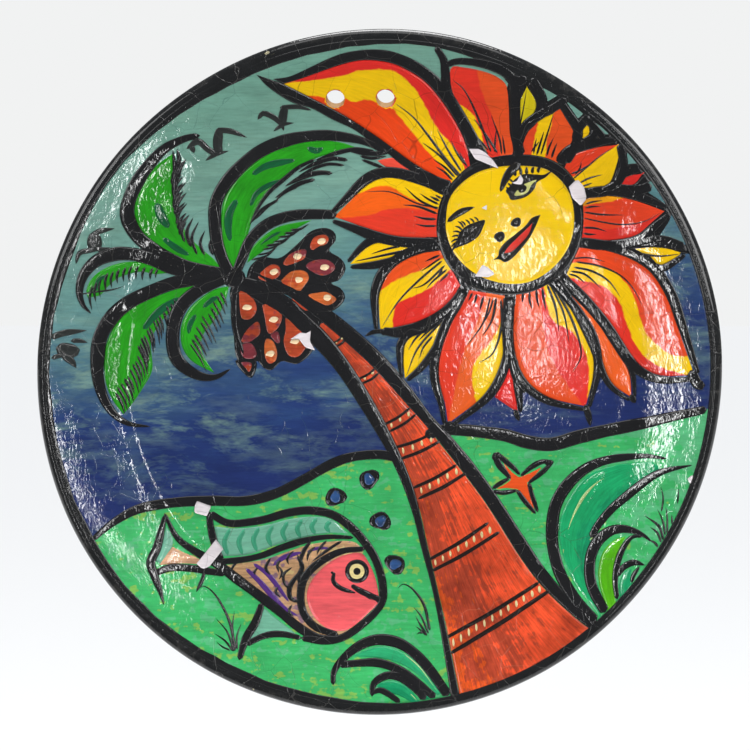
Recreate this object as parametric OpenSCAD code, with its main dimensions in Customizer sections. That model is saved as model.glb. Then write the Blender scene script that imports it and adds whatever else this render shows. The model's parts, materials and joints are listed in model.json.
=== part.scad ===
// Painted clay wall plate, hung by two holes in its rim.
// The back lies against the wall in the plane y = 0, the painted face looks toward -Y, and +Z is up.
// Outlines are drawn as the viewer sees them: x to the right, y up, from the middle of the plate.

/* [Plate] */
// Diameter of the bare clay
plate_d = 205.6; // [190:0.2:220]
// Clay thickness in the middle of the well
floor_t = 5; // [4:0.5:8]
// Rise of the well from the middle out to the edge
dish_rise = 0.8; // [0:0.1:2]
// Radius of the crease where the rim begins to rise
crease_r = 77.5; // [72:0.5:79]
// Angle of the rim above the well
rim_angle = 22; // [12:1:28]
// Thickness of the rim
rim_t = 4.6; // [4:0.2:6]

/* [Hanging holes] */
// Diameter of each hole
hole_d = 5.5; // [4:0.5:7]
// Height of the holes above the middle
hole_z = 82; // [81:0.5:84]
// Distance between the two holes
hole_gap = 15; // [12:0.5:20]
// How far the pair sits to the right of the middle
hole_shift = -5.25; // [-8:0.25:8]

/* [Paint] */
// Thickness of the white ground under the paint
ground_t = 0.3; // [0.2:0.1:0.5]
// Thickness of one coat of paint
coat_t = 0.2; // [0.1:0.05:0.3]
// Width of the black line round each shape
line_w = 2.8; // [1.5:0.1:3.5]
// Radius where the black rim band begins
band_r = 98; // [96:0.5:99]

/* [Hidden] */
$fn = 96;

plate_r = plate_d / 2;
half_t = rim_t / 2;
crease_soft = 1.6;             // how gently the well turns up into the rim
back_crease_r = crease_r - 2;  // the same turn on the back
flat_back_r = 70;              // the back is flat out to here
lip_r = plate_r - half_t * (1 + sin(rim_angle));
hole_r = hole_d / 2;
hole_x = [hole_shift - hole_gap / 2, hole_shift + hole_gap / 2];
gap = 0.1;                     // bare ground left between two films of one coat
smooth_steps = 4;              // straight steps between two points of a curve
arc_step = 15;                 // degrees between two points of the rounded edge
tall = 40;                     // taller than the plate is deep

clay = "#d9c9a0";
chalk = "#ece4e4";
black = "#232327";
red = "#e62a1f";
orange = "#f2661b";
yellow = "#ffd400";
leaf_green = "#2a9d18";
meadow = "#3fbe6e";
teal = "#58b898";

// ---- the turned clay ----

function soft_turn(r, start) = crease_soft * ln(1 + exp((r - start) / crease_soft));
function front(r) = floor_t + dish_rise * pow(r / plate_r, 2) + tan(rim_angle) * soft_turn(r, crease_r);
function back(r) = r <= flat_back_r ? 0 : tan(rim_angle) * soft_turn(r, back_crease_r);

well_radii = [0, 40, 60, 70, 73, 75, 77, 79, 81, 84];
back_radii = [84, 80, 78, 76, 74, 72];
edge = [lip_r, front(lip_r)] + half_t * [sin(rim_angle), -cos(rim_angle)];

// The rounded edge, from the lip round the outside to the back.
function rounded(r, turn = 180) =
    [for (a = [0:arc_step:turn]) edge + r * [sin(a - rim_angle), cos(a - rim_angle)]];

module section() polygon(concat(
    [for (r = well_radii) [r, front(r)]],
    rounded(half_t),
    [for (r = back_radii) [r, back(r)]],
    [[flat_back_r, 0], [0, 0]]));

// Turns what is modelled face-up into its place on the wall.
module hung() rotate([90, 0, 0]) children();

module hanging_holes() {
    for (x = hole_x)
        translate([x, hole_z, front(hole_z)])
            rotate([rim_angle, 0, 0])
                cylinder(h = tall, r = hole_r, center = true);
}

// A thin skin over the front, from one height above the clay to another.
module skin(low, high, end_r) {
    radii = concat([for (r = well_radii) if (r < end_r) r], [end_r]);
    last = len(radii) - 1;
    rotate_extrude()
        polygon(concat(
            [for (i = [0:last]) [radii[i], front(radii[i]) + low]],
            [for (i = [last:-1:0]) [radii[i], front(radii[i]) + high]]));
}

// One coat of paint in the outline given: coat 1 lies on the ground, coat 2 on coat 1, and so on.
module coat(number) {
    low = ground_t + (number - 1) * coat_t;
    hung() intersection() {
        linear_extrude(tall) children();
        skin(low, low + coat_t, band_r);
    }
}

module drilled_coat(number) {
    difference() {
        coat(number) children();
        hung() hanging_holes();
    }
}

// ---- drawing ----

function bend(a, b, c, d, t) =
    0.5 * (2 * b + t * (c - a) + t * t * (2 * a - 5 * b + 4 * c - d) + t * t * t * (3 * b - a - 3 * c + d));
// A smooth open line through the points.
function line(p) = let (e = len(p) - 1) concat(
    [for (i = [0:e - 1]) for (k = [0:smooth_steps - 1])
        bend(p[max(i - 1, 0)], p[i], p[i + 1], p[min(i + 2, e)], k / smooth_steps)],
    [p[e]]);
function back_to_front(p) = [for (i = [len(p) - 1:-1:0]) p[i]];

// A leaf shape between two lines that both run from its base to its tip.
module blade(one, other) polygon(concat(line(one), back_to_front(line(other))));

// A closed smooth shape round the points.
module blob(p) {
    n = len(p);
    polygon([for (i = [0:n - 1]) for (k = [0:smooth_steps - 1])
        bend(p[(i + n - 1) % n], p[i], p[(i + 1) % n], p[(i + 2) % n], k / smooth_steps)]);
}

// A brush stroke: wide in the middle and pointed at both ends, or blunt at the start.
module stroke(p, wide, start = 0.25) {
    q = line(p);
    last = len(q) - 1;
    function half(i) = wide / 2 * max(start * (1 - i / last), sin(180 * i / last)) + 0.15;
    function ahead(i) = q[min(i + 1, last)] - q[max(i - 1, 0)];
    function side(i) = [-ahead(i).y, ahead(i).x] / norm(ahead(i));
    polygon(concat(
        [for (i = [0:last]) q[i] + half(i) * side(i)],
        [for (i = [last:-1:0]) q[i] - half(i) * side(i)]));
}

module oval(at, size, turn = 0)
    translate(at) rotate(turn) scale([size.x / size.y, 1]) circle(d = size.y, $fn = 32);

// A coconut: round at the bottom and pointed toward the palm's crown.
module nut(at, size, turn)
    translate(at) rotate(turn)
        blob([[-size.x / 2, 0], [-size.x / 4, size.y / 2.2], [size.x / 4, size.y / 2], [size.x / 2, 0],
            [size.x / 4, -size.y / 2], [-size.x / 4, -size.y / 2.2]]);

module ringed(w = line_w) offset(r = w, $fn = 16) children();

// ---- the palm ----

module trunk_shape() blade(
    [[-23, 19], [-14, 10], [-4.5, -3.5], [3.5, -18], [10.5, -34.5], [15.5, -55], [21, -79], [25.5, -96.5]],
    [[-23, 19], [-12.5, 11.5], [-1.5, 1.5], [9, -10], [16, -18], [31.5, -38], [48, -62.5], [64, -77.5]]);

module frond_top_left_shape() blade(
    [[-47, 30.5], [-56, 31.5], [-63, 34.5], [-69, 39], [-72.5, 44], [-73, 50], [-70, 57], [-61, 65.5]],
    [[-47, 30.5], [-50, 34], [-55, 37.5], [-58.5, 42.5], [-60.5, 48.5], [-61.5, 54.5], [-60, 60], [-61, 65.5]]);

module frond_top_shape() blade(
    [[-43, 30.5], [-46, 36], [-47.5, 43], [-46.5, 50], [-44, 56.5], [-39, 62], [-32, 67], [-24.5, 69], [-6, 67.5]],
    [[-43, 30.5], [-42.5, 34], [-41, 39], [-39, 45], [-37, 51.5], [-32, 56.5], [-25, 60], [-19, 63], [-6, 67.5]]);

module frond_right_shape() blade(
    [[-39.5, 33], [-37.5, 37.5], [-33.5, 41.5], [-28.5, 44], [-20, 45.5]],
    [[-39.5, 33], [-32, 37.5], [-26.5, 42], [-20, 45.5]]);

module frond_left_shape() blade(
    [[-60, 30.5], [-64.5, 31.5], [-70, 33], [-76, 33], [-81.5, 31.5], [-85.5, 29], [-87.5, 25], [-87, 22.5]],
    [[-60, 30.5], [-67, 29.5], [-72, 30.5], [-78, 29.5], [-81.5, 26.5], [-83, 24], [-87, 22.5]]);

module frond_low_left_shape() blade(
    [[-46.5, 29], [-53, 28.5], [-60, 26.5], [-67, 23.5], [-74, 20], [-78.5, 15.5], [-81.5, 9], [-82.5, 3],
        [-82, -3.5], [-77, -12.5]],
    [[-46.5, 29], [-50, 27], [-56, 24.5], [-60, 21], [-64, 17.5], [-67, 14], [-69, 9], [-68, 0], [-74, -8],
        [-77, -12.5]]);

module frond_hook_shape() blade(
    [[-45, 26], [-50, 24.5], [-56, 20], [-59, 15.5], [-59.5, 10.5], [-58.5, 6.5], [-55.5, 3], [-49.5, 0]],
    [[-45, 26], [-46, 22], [-47, 19], [-49.5, 15.5], [-52.5, 12], [-53.5, 8.5], [-52.5, 4.5], [-49.5, 0]]);

module fronds_shape() {
    frond_top_left_shape();
    frond_top_shape();
    frond_right_shape();
    frond_left_shape();
    frond_low_left_shape();
    frond_hook_shape();
}

// Middle, size and lean of each coconut.
nuts = [
    [[-17, 39.5], [6, 3.5], 25], [[-25, 34.5], [6.5, 4.5], 35], [[-17, 31.5], [8.5, 4], -5],
    [[-33, 30], [6, 5], 10], [[-25, 27.5], [9, 6], 10], [[-17, 22.5], [8, 3.5], -5],
    [[-39.5, 20.5], [9.5, 5], 95], [[-32, 15.5], [10.5, 5], 100], [[-38.5, 8.5], [8, 5], 75],
    [[-33, 6], [7.5, 4], 95], [[-25, 10], [9.5, 7.5], 115]
];

module coconuts_shape() for (n = nuts) nut(n[0], n[1], n[2]);

module palm_shape() {
    ringed() trunk_shape();
    ringed() fronds_shape();
    ringed(1.8) coconuts_shape();
    translate([-44, 29]) circle(r = 4);
    stroke([[-42, 28], [-33, 24], [-24, 18], [-16, 12]], 6);
    stroke([[-87, 17], [-89.5, 24], [-84, 33.5], [-74, 36.5], [-64, 32]], 4);
    stroke([[-53, 71], [-63, 69], [-73, 59], [-76, 48]], 5);
    stroke([[3, 66], [-8, 71], [-24, 71], [-38, 65]], 5);
    stroke([[-69, -16.5], [-78, -15.5], [-84, -8]], 4);
    stroke([[-44.5, 1], [-51, -1.5], [-59, 1.5]], 4);
}

// Left end, right end and height of each pair of lines across the trunk.
bands = [
    [[-13.5, 9], [-10.5, 11.5], 1], [[-6.5, -2], [-1, 1.5], 1.2], [[2.5, -16.5], [10.5, -11.5], 2],
    [[6, -24.5], [17.5, -19.5], 3], [[11.5, -36.5], [25, -29], 3.4], [[16, -58], [34.5, -46.5], 3.8],
    [[21.5, -81.5], [50, -64], 4.4]
];

band_line_w = 0.7;

module band_lines(b) {
    run = b[1] - b[0];
    for (side = [-1, 1])
        translate((b[0] + b[1]) / 2)
            rotate(atan2(run.y, run.x))
                translate([0, side * b[2] / 2])
                    square([norm(run) + b[2], band_line_w], center = true);
}

// ---- the sun ----

sun_at = [40, 44];
module sun_disc_shape() oval(sun_at, [38, 35]);

module petal_top_left_shape() blade(
    [[27, 60], [27.5, 66], [23, 76.5], [15.5, 87], [6.5, 92], [-4, 93], [-14.5, 91.5], [-28, 86]],
    [[22, 56], [11, 61.5], [0.5, 69], [-10, 76.5], [-20, 82], [-28, 86]]);

module petal_top_shape() blob(
    [[31, 65], [25, 76], [22, 82], [22.5, 90.5], [30, 90], [37, 88], [39, 84], [40, 74], [40, 64]]);

module petal_top_right_shape() blob(
    [[44, 64], [44, 69.5], [50.5, 76.5], [54, 78.5], [58.5, 71.5], [56.5, 65], [53.5, 61.5]]);

module petal_upper_right_shape() blade(
    [[57, 60], [57.5, 64], [63, 66.5], [72, 68]],
    [[60, 54.5], [66, 54.5], [70.5, 57], [72, 68]]);

module petal_right_shape() blade(
    [[61, 51], [68, 53], [74, 52.5], [80, 50.5], [85.5, 48]],
    [[61, 40], [67, 39], [75.5, 39.5], [80.5, 43], [85.5, 48]]);

module petal_sweep_shape() blade(
    [[60, 38], [68, 37], [74.5, 34], [81, 31], [85.5, 25], [88.5, 17], [91, 9], [94, -0.5]],
    [[55, 29], [64, 20], [70.5, 13], [75, 5], [80, 0.5], [86, -1], [94, -0.5]]);

module petal_slim_shape() blade(
    [[54, 28], [62.5, 22], [68, 15], [72, 7.5], [75, 1.5], [75.5, -7.5]],
    [[54, 28], [59.5, 22], [63.5, 13], [66.5, 6], [68, 0.5], [75.5, -7.5]]);

module petal_low_right_shape() blade(
    [[51, 27.5], [57, 21], [61.5, 15], [64.5, 8.5], [65, 1.5], [63.5, -5], [62.5, -10]],
    [[41, 22.5], [40.5, 15], [40.5, 9], [42, 2], [45, -3.5], [50, -7.5], [62.5, -10]]);

module petal_bottom_shape() blade(
    [[38, 22], [37.5, 15.5], [38, 8], [36, 1.5], [32.5, -5], [27.5, -10], [21, -15.5]],
    [[27.5, 24.5], [25, 21], [22, 15.5], [19, 9.5], [18, 1.5], [20, -8], [21, -15.5]]);

module petal_low_left_shape() blade(
    [[25, 27], [23.5, 23.5], [18, 18], [11.5, 15], [5.5, 13.5], [0.5, 13]],
    [[18, 37.5], [10, 35.5], [3.5, 31.5], [0.5, 26], [0, 19.5], [0.5, 13]]);

module petal_left_shape() blade(
    [[19, 54], [13.5, 56], [7, 58.5], [0.5, 58.5], [-5, 56], [-13.5, 47]],
    [[17.5, 41], [10, 40.5], [4, 41], [-8, 44.5], [-13.5, 47]]);

module small_petals_shape() {
    blade([[42, 71.5], [41.5, 79.5], [44.5, 85.5]], [[42, 71.5], [47.5, 80], [44.5, 85.5]]);
    blade([[60.5, 69], [61, 72], [63, 74]], [[60.5, 69], [63.5, 71.5], [63, 74]]);
    blade([[70.5, 56], [74, 58.5], [79.5, 59.5]], [[70.5, 56], [76, 55.5], [79.5, 59.5]]);
    blade([[73, 37], [83, 37.5], [91, 36]], [[73, 37], [79, 34.5], [84, 31.5], [91, 36]]);
    blade([[40, 4], [35, -7.5]], [[40, 4], [42, -12]]);
    blade([[20.5, 17], [14, 13], [8.5, 9.5], [7.5, 5.5], [8, -1.5]], [[20.5, 17], [16.5, 5.5], [8, -1.5]]);
    blade([[11, 37.5], [1, 39.5], [-4, 37.5], [-8.5, 32.5]], [[11, 37.5], [6, 36], [-8.5, 32.5]]);
    blade([[0, 63.5], [5, 64], [11.5, 59]], [[0, 63.5], [3, 61], [11.5, 59]]);
}

module sun_shape() ringed() {
    oval(sun_at, [38, 35]);
    petal_top_left_shape();
    petal_top_shape();
    petal_top_right_shape();
    petal_upper_right_shape();
    petal_right_shape();
    petal_sweep_shape();
    petal_slim_shape();
    petal_low_right_shape();
    petal_bottom_shape();
    petal_low_left_shape();
    petal_left_shape();
    small_petals_shape();
}

module mouth_shape() blade([[47, 45], [42, 41.5], [37, 36]], [[47, 45], [45, 39.5], [37, 36]]);

module sun_face_shape() {
    difference() {
        blade([[48.5, 47], [43, 43], [36.5, 36]], [[48.5, 47], [46, 39.5], [39, 34.5], [36.5, 36]]);
        mouth_shape();
    }
    oval([41, 45], [2.8, 2], 20);
    oval([36, 40.5], [3, 2.2], 15);
    stroke([[37, 54], [38, 59], [41, 60.3]], 1.4);
    stroke([[21.8, 45.5], [25, 48.2], [28.5, 49.4]], 1.4);
    stroke([[23, 39], [27.5, 41], [31.5, 45.5]], 2.4);
    difference() {
        oval([43.8, 55], [8.6, 4.4], 35);
        oval([44, 55], [6.8, 2.8], 35);
    }
    oval([43.5, 55.2], [2, 2], 0);
}

// ---- the fish ----

module fish_head_shape() blob(
    [[-21, -68], [-19, -61], [-11, -55], [-5.5, -54.5], [-1, -63], [0, -69], [-5, -75.5], [-11, -78], [-18, -75]]);

module fish_body_shape() difference() {
    blob([[-47, -57.5], [-39, -57], [-23, -51.5], [-9, -51], [-4, -54], [-8, -77], [-16, -78.5], [-29, -72],
        [-40, -63]]);
    ringed(1.6) fish_head_shape();
}

module fish_fins_shape() {
    blade([[-47.5, -55], [-39, -55], [-31, -52], [-16, -48], [-8.5, -49]],
        [[-49, -46.5], [-34, -46], [-27, -44], [-19, -43.5], [-8.5, -49]]);
    blade([[-38.5, -82], [-37, -77], [-35, -71]], [[-30, -80], [-26, -78.5], [-25.5, -77], [-35, -71]]);
}

module fish_tail_shape() blade([[-53, -58], [-61, -57.5], [-67, -58]], [[-53, -58], [-61, -52], [-65, -46]]);

module fish_shape() {
    ringed(2.2) {
        fish_head_shape();
        fish_body_shape();
        fish_fins_shape();
        fish_tail_shape();
    }
    stroke([[-64, -69], [-66.5, -62], [-60, -59.5], [-47, -60]], 3);
    stroke([[-64.5, -43], [-61, -50], [-50, -56]], 3);
}

fish_eye_at = [-6.5, -60];

module fish_stripes_shape() {
    stroke([[-39, -60.5], [-34, -65], [-30, -70], [-26, -73.5]], 1.8);
    stroke([[-37, -57.8], [-32, -62], [-28.5, -68]], 1.8);
    stroke([[-33, -58], [-27, -54.5], [-21, -54]], 1.6);
}

// ---- the ground, plants and small things ----

module shore_left() stroke(
    [[-92, -56], [-84, -49], [-77.5, -44], [-70.5, -41], [-50, -39.5], [-31, -36.5], [-17, -29], [-9, -25.5],
        [5, -26]], 3, 1.4);
module shore_right() stroke(
    [[20, -19], [30, -17.5], [37, -18.5], [50, -21.5], [57, -20], [72, -17], [88, -13], [102, -10]], 3.2, 1.4);

module left_meadow_shape() polygon(concat(
    line([[-92, -56], [-84, -49], [-77.5, -44], [-70.5, -41], [-50, -39.5], [-31, -36.5], [-17, -29],
        [-9, -25.5], [5, -26]]),
    [[20, -105], [-95, -105]]));
module right_meadow_shape() polygon(concat(
    line([[20, -19], [30, -17.5], [37, -18.5], [50, -21.5], [57, -20], [72, -17], [88, -13], [102, -10]]),
    [[105, -105], [20, -105], [5, -26]]));

module wave_leaf_shape() blade(
    [[67.5, -74], [64, -69], [58.5, -63], [55, -54], [54.5, -45], [58, -35.5], [64, -30], [72.5, -27], [82, -26]],
    [[67.5, -74], [63.5, -64], [62.5, -59], [64, -51], [69, -42.5], [76, -35.5], [82, -26]]);

module lime_leaf_shape() {
    blade([[69.5, -71], [66.5, -64], [66, -59], [67, -54], [74, -48.5]],
        [[72, -69], [70.5, -62], [71, -54], [74, -48.5]]);
    blade([[74, -67], [72.5, -62], [74, -58.5]], [[76.5, -64], [76, -61], [74, -58.5]]);
}

module bottom_leaves_shape() {
    blade([[19, -95], [15, -89], [10, -85], [4, -82.5], [-8.5, -85]],
        [[17, -95], [11, -89.5], [4, -85.5], [-8.5, -85]]);
    blade([[12, -98], [8, -94], [4, -92], [0.5, -94]], [[8, -99], [4, -95], [0.5, -94]]);
}

module leaves_shape() {
    ringed(2.4) wave_leaf_shape();
    ringed(1.8) lime_leaf_shape();
    ringed(1.8) bottom_leaves_shape();
    stroke([[93.5, -27], [83, -30], [71, -40], [64, -49]], 2.4);
    stroke([[82, -50], [78, -47], [70, -47], [64, -55]], 2.8);
    stroke([[80, -57], [76, -56], [72.5, -58]], 1.6);
    stroke([[-12.5, -94], [-12.5, -89], [-5, -84], [2, -81]], 3);
}

// Four arms, tip and inner corner in turn.
module starfish_shape() polygon(
    [[37.5, -26.5], [42.5, -30], [50.5, -27.5], [45, -33], [47, -41.5], [42, -35], [35, -35.5], [40, -32]]);
module starfish_edge() {
    ringed(1.1) starfish_shape();
    stroke([[35, -24.2], [37, -27], [40, -30]], 2.4);
    stroke([[52.7, -26.5], [49, -27.3], [45, -30.5]], 2);
}

bubble_at = [[-3, -32], [-13, -37.5], [1, -45], [5, -57.5]];

module bird(at, size, turn = 0) translate(at) rotate(turn) scale(size) {
    stroke([[-5, 2.5], [-1.5, 3.5], [0, -0.5]], 1.6);
    stroke([[5.5, 2], [1.2, 4], [0, -0.5]], 1.8);
    stroke([[2.5, -0.8], [0, -0.8], [-3, -3]], 1.6);
}
module birds_shape() {
    bird([-47.5, 68.5], 1.1);
    bird([-31, 76.5], 1);
    bird([-83.5, 38], 1.1, 15);
    bird([-90.5, 7], 1, 10);
}

module tuft(at, tips) for (tip = tips)
    stroke([at, at + [(tip.x - at.x) * 0.25, (tip.y - at.y) * 0.6], tip], 0.5, 1);
module grass_shape() {
    tuft([-43, -83], [[-54, -66], [-48.5, -75], [-49, -79], [-43.5, -72], [-41, -76]]);
    tuft([15, -79], [[6, -64.5], [10, -70], [10, -76]]);
    tuft([84, -52], [[80, -43], [83, -41], [86, -41], [88, -45]]);
}

// ---- the pieces ----

module clay_plate() color(clay) difference() {
    hung() rotate_extrude() section();
    hung() hanging_holes();
}

module white_ground() color(chalk) difference() {
    hung() skin(0, ground_t, band_r);
    hung() hanging_holes();
}

band_turn = 135;  // degrees that the black wraps round the edge
module rim_band() color(black) hung() rotate_extrude() polygon(concat(
    [[band_r, front(band_r) + ground_t + coat_t]],
    rounded(half_t + coat_t, band_turn),
    back_to_front(rounded(half_t, band_turn)),
    [[band_r, front(band_r)]]));

module sky_and_sea() color("#3f6e93") drilled_coat(1) difference() {
    circle(r = plate_r);
    left_meadow_shape();
    right_meadow_shape();
}
module left_meadow() color(meadow) coat(1) left_meadow_shape();
module right_meadow() color(meadow) coat(1) right_meadow_shape();

module shore_lines() color(black) coat(2) offset(delta = -gap) difference() {
    union() {
        shore_left();
        shore_right();
    }
    palm_shape();
    sun_shape();
}
module palm_outline() color(black) coat(2) offset(delta = -gap) palm_shape();
module sun_outline() color(black) drilled_coat(2) offset(delta = -gap) difference() {
    sun_shape();
    palm_shape();
}
module fish_outline() color(black) coat(2) offset(delta = -gap) fish_shape();
module leaf_outlines() color(black) coat(2) offset(delta = -gap) difference() {
    leaves_shape();
    palm_shape();
    shore_right();
}
module birds() color(black) coat(2) offset(delta = -gap) difference() {
    birds_shape();
    palm_shape();
}
module bubble_rings() color(black) coat(2) for (b = bubble_at) translate(b) circle(r = 3, $fn = 32);
module starfish_outline() color(black) coat(2) offset(delta = -gap) starfish_edge();
module grass() color(black) coat(2) offset(delta = 0) difference() {
    grass_shape();
    leaves_shape();
    palm_shape();
}

module trunk() color("#c23a1c") coat(3) trunk_shape();
module trunk_bands() color(black) coat(4) offset(delta = 0) intersection() {
    for (b = bands) band_lines(b);
    trunk_shape();
}
module frond_top_left() color(leaf_green) coat(3) frond_top_left_shape();
module frond_top() color(leaf_green) coat(3) frond_top_shape();
module frond_right() color(leaf_green) coat(3) frond_right_shape();
module frond_left() color(leaf_green) coat(3) frond_left_shape();
module frond_low_left() color(leaf_green) coat(3) frond_low_left_shape();
module frond_hook() color(leaf_green) coat(3) frond_hook_shape();
module coconuts() color("#b04a28") coat(3) coconuts_shape();
module coconut_lights() color("#f5dca8") coat(4)
    for (n = nuts) translate(n[0] + [0.6, 0.3]) circle(r = 0.9, $fn = 24);

module petal_top_left() color(orange) drilled_coat(3) petal_top_left_shape();
module petal_top() color(red) coat(3) petal_top_shape();
module petal_top_right() color(orange) coat(3) petal_top_right_shape();
module petal_upper_right() color(yellow) coat(3) petal_upper_right_shape();
module petal_right() color(red) coat(3) petal_right_shape();
module petal_sweep() color(orange) coat(3) petal_sweep_shape();
module petal_slim() color(orange) coat(3) petal_slim_shape();
module petal_low_right() color(red) coat(3) petal_low_right_shape();
module petal_bottom() color(red) coat(3) petal_bottom_shape();
module petal_low_left() color(yellow) coat(3) petal_low_left_shape();
module petal_left() color(orange) coat(3) petal_left_shape();
module small_petals() color(yellow) coat(3) small_petals_shape();
module sun_disc() color(yellow) coat(3) offset(delta = 0) sun_disc_shape();
module sun_face() color(black) coat(4) offset(delta = 0) sun_face_shape();
module sun_mouth() color(red) coat(4) mouth_shape();

module fish_head() color("#f0626a") coat(3) fish_head_shape();
module fish_body() color("#c9a06c") coat(3) offset(delta = 0) fish_body_shape();
module fish_fins() color(teal) coat(3) fish_fins_shape();
module fish_tail() color("#d8c8a8") coat(3) fish_tail_shape();
module fish_eye() color("#f2e3a0") coat(4) translate(fish_eye_at) circle(r = 2.4, $fn = 32);
module fish_stripes() color("#5a3080") coat(4) offset(delta = 0) intersection() {
    fish_stripes_shape();
    fish_body_shape();
}

module wave_leaf() color("#119a62") coat(3) wave_leaf_shape();
module lime_leaf() color("#4cb80e") coat(3) lime_leaf_shape();
module bottom_leaves() color("#1d9c63") coat(3) bottom_leaves_shape();
module starfish() color(orange) coat(3) offset(delta = 0) starfish_shape();
module bubbles() color("#2a4a80") coat(3) for (b = bubble_at) translate(b) circle(r = 1.6, $fn = 32);

clay_plate();
white_ground();
sky_and_sea();
left_meadow();
right_meadow();
rim_band();
shore_lines();
palm_outline();
sun_outline();
fish_outline();
leaf_outlines();
birds();
bubble_rings();
starfish_outline();
grass();
trunk();
trunk_bands();
frond_top_left();
frond_top();
frond_right();
frond_left();
frond_low_left();
frond_hook();
coconuts();
coconut_lights();
petal_top_left();
petal_top();
petal_top_right();
petal_upper_right();
petal_right();
petal_sweep();
petal_slim();
petal_low_right();
petal_bottom();
petal_low_left();
petal_left();
small_petals();
sun_disc();
sun_face();
sun_mouth();
fish_head();
fish_body();
fish_fins();
fish_tail();
fish_eye();
fish_stripes();
wave_leaf();
lime_leaf();
bottom_leaves();
starfish();
bubbles();
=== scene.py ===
# %% [markdown]
# # A painted clay wall plate
# A round plate of pressed clay, painted on its face with a palm, a sun, the sea and a fish, and hung by two
# holes. Every Blender piece is worked out with numpy in the plate's own frame: x to the right, z up, and the
# painted face looks toward -y. Drawings are written in millimetres from the middle of the plate, as the
# viewer sees them.

# %% The fixed frame
import json
import math

import bmesh
import bpy
import numpy as np
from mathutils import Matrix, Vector

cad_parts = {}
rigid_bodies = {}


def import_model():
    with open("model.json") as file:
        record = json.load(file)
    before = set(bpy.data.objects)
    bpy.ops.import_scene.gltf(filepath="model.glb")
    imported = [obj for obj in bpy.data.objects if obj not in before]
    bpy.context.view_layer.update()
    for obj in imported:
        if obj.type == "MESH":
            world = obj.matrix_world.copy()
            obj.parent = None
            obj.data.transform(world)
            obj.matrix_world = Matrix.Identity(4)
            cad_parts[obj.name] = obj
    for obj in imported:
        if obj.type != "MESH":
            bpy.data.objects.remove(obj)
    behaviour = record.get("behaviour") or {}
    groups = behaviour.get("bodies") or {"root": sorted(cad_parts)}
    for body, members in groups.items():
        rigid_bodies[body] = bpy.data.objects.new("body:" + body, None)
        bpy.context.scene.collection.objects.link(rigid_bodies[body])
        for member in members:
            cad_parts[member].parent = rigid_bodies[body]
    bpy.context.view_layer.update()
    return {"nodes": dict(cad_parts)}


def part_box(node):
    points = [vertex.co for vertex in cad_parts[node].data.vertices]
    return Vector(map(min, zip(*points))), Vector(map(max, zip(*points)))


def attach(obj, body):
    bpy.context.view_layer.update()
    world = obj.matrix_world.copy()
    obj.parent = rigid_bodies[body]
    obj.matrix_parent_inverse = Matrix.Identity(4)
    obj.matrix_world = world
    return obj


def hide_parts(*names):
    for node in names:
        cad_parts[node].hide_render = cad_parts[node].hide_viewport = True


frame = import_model()
scene = bpy.context.scene
scene.view_settings.view_transform = "Standard"
MM = 0.001
rng = np.random.default_rng(7)
print("nodes in the frame:", len(frame["nodes"]))

# %% [markdown]
# ## The turned shape
# The clay is a solid of revolution: a well that is almost flat, a soft crease, and a rim that rises at a
# steady angle. The crease is a softplus curve, ln(1 + e^x), which is flat on one side, straight on the other
# and smooth between. The same formula gives the back, a little further in, so the wall keeps its thickness.

# %% Profile of the plate
low_corner, high_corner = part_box("clay_plate")
plate_r = (high_corner.x - low_corner.x) / 2 / MM
floor_t, dish_rise, rim_t = 5.0, 0.8, 4.6
crease_r, crease_soft, flat_back_r = 77.0, 1.6, 68
lean = math.radians(22)
rim_slope = math.tan(lean)
half_t = rim_t / 2
lip_r = plate_r - half_t * (1 + math.sin(lean))


def smooth(x, low, high):
    """Smoothstep: 0 below low, 1 above high, and 3t^2 - 2t^3 between."""
    t = np.clip((x - low) / (high - low), 0, 1)
    return t * t * (3 - 2 * t)


def soft_turn(r, start):
    """Softplus of the distance past start: zero well inside it, the distance itself well outside."""
    return crease_soft * np.log1p(np.exp(np.clip((r - start) / crease_soft, -40, 40)))


def front_height(r):
    """Height of the bare clay above the wall: a floor, a slight bowl, the rim's slope, and a soft roll-off at
    the lip."""
    roll_off = 0.006 * np.clip(r - 90, 0, None) ** 2
    return floor_t + dish_rise * (r / plate_r) ** 2 + rim_slope * soft_turn(r, crease_r) - roll_off


def back_height(r):
    """Height of the back above the wall: flat in the middle, then parallel to the rim's front."""
    return rim_slope * soft_turn(r, crease_r - 2) * smooth(r, flat_back_r, flat_back_r + 6)


def hand_wave(x, z):
    """How far a hand-pressed face strays from the true shape: a few slow sines, in millimetres."""
    angle = np.arctan2(z, x)
    r = np.hypot(x, z)
    rim = smooth(r, 60, 100) * (0.12 * np.sin(2 * angle + 0.6) + 0.06 * np.sin(3 * angle) - 0.2)
    return rim + 0.05 * np.sin(x / 9 + 0.4) * np.sin(z / 11) + 0.02 * np.sin(x / 4.3 + z / 5.1)


def out_of_round(x, z):
    """Moves points near the edge in or out a little, because the plate was trimmed by hand."""
    angle = np.arctan2(z, x)
    shift = -0.75 + 0.55 * np.cos(2 * angle - 1.64) + 0.1 * np.sin(5 * angle + 1) + 0.04 * np.sin(11 * angle)
    factor = 1 + smooth(np.hypot(x, z), 93, 102) * shift / plate_r
    return x * factor, z * factor


def drape(x, z, lift):
    """Points x, z laid on the plate's face and raised by lift millimetres, as metres in the frame."""
    y = -(front_height(np.hypot(x, z)) + hand_wave(x, z) + lift)
    x, z = out_of_round(x, z)
    return np.stack([x, y, z], axis=-1) * MM


print("plate radius, mm:", round(plate_r, 2), " depth at the lip, mm:", round(float(front_height(lip_r)), 2))

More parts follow.
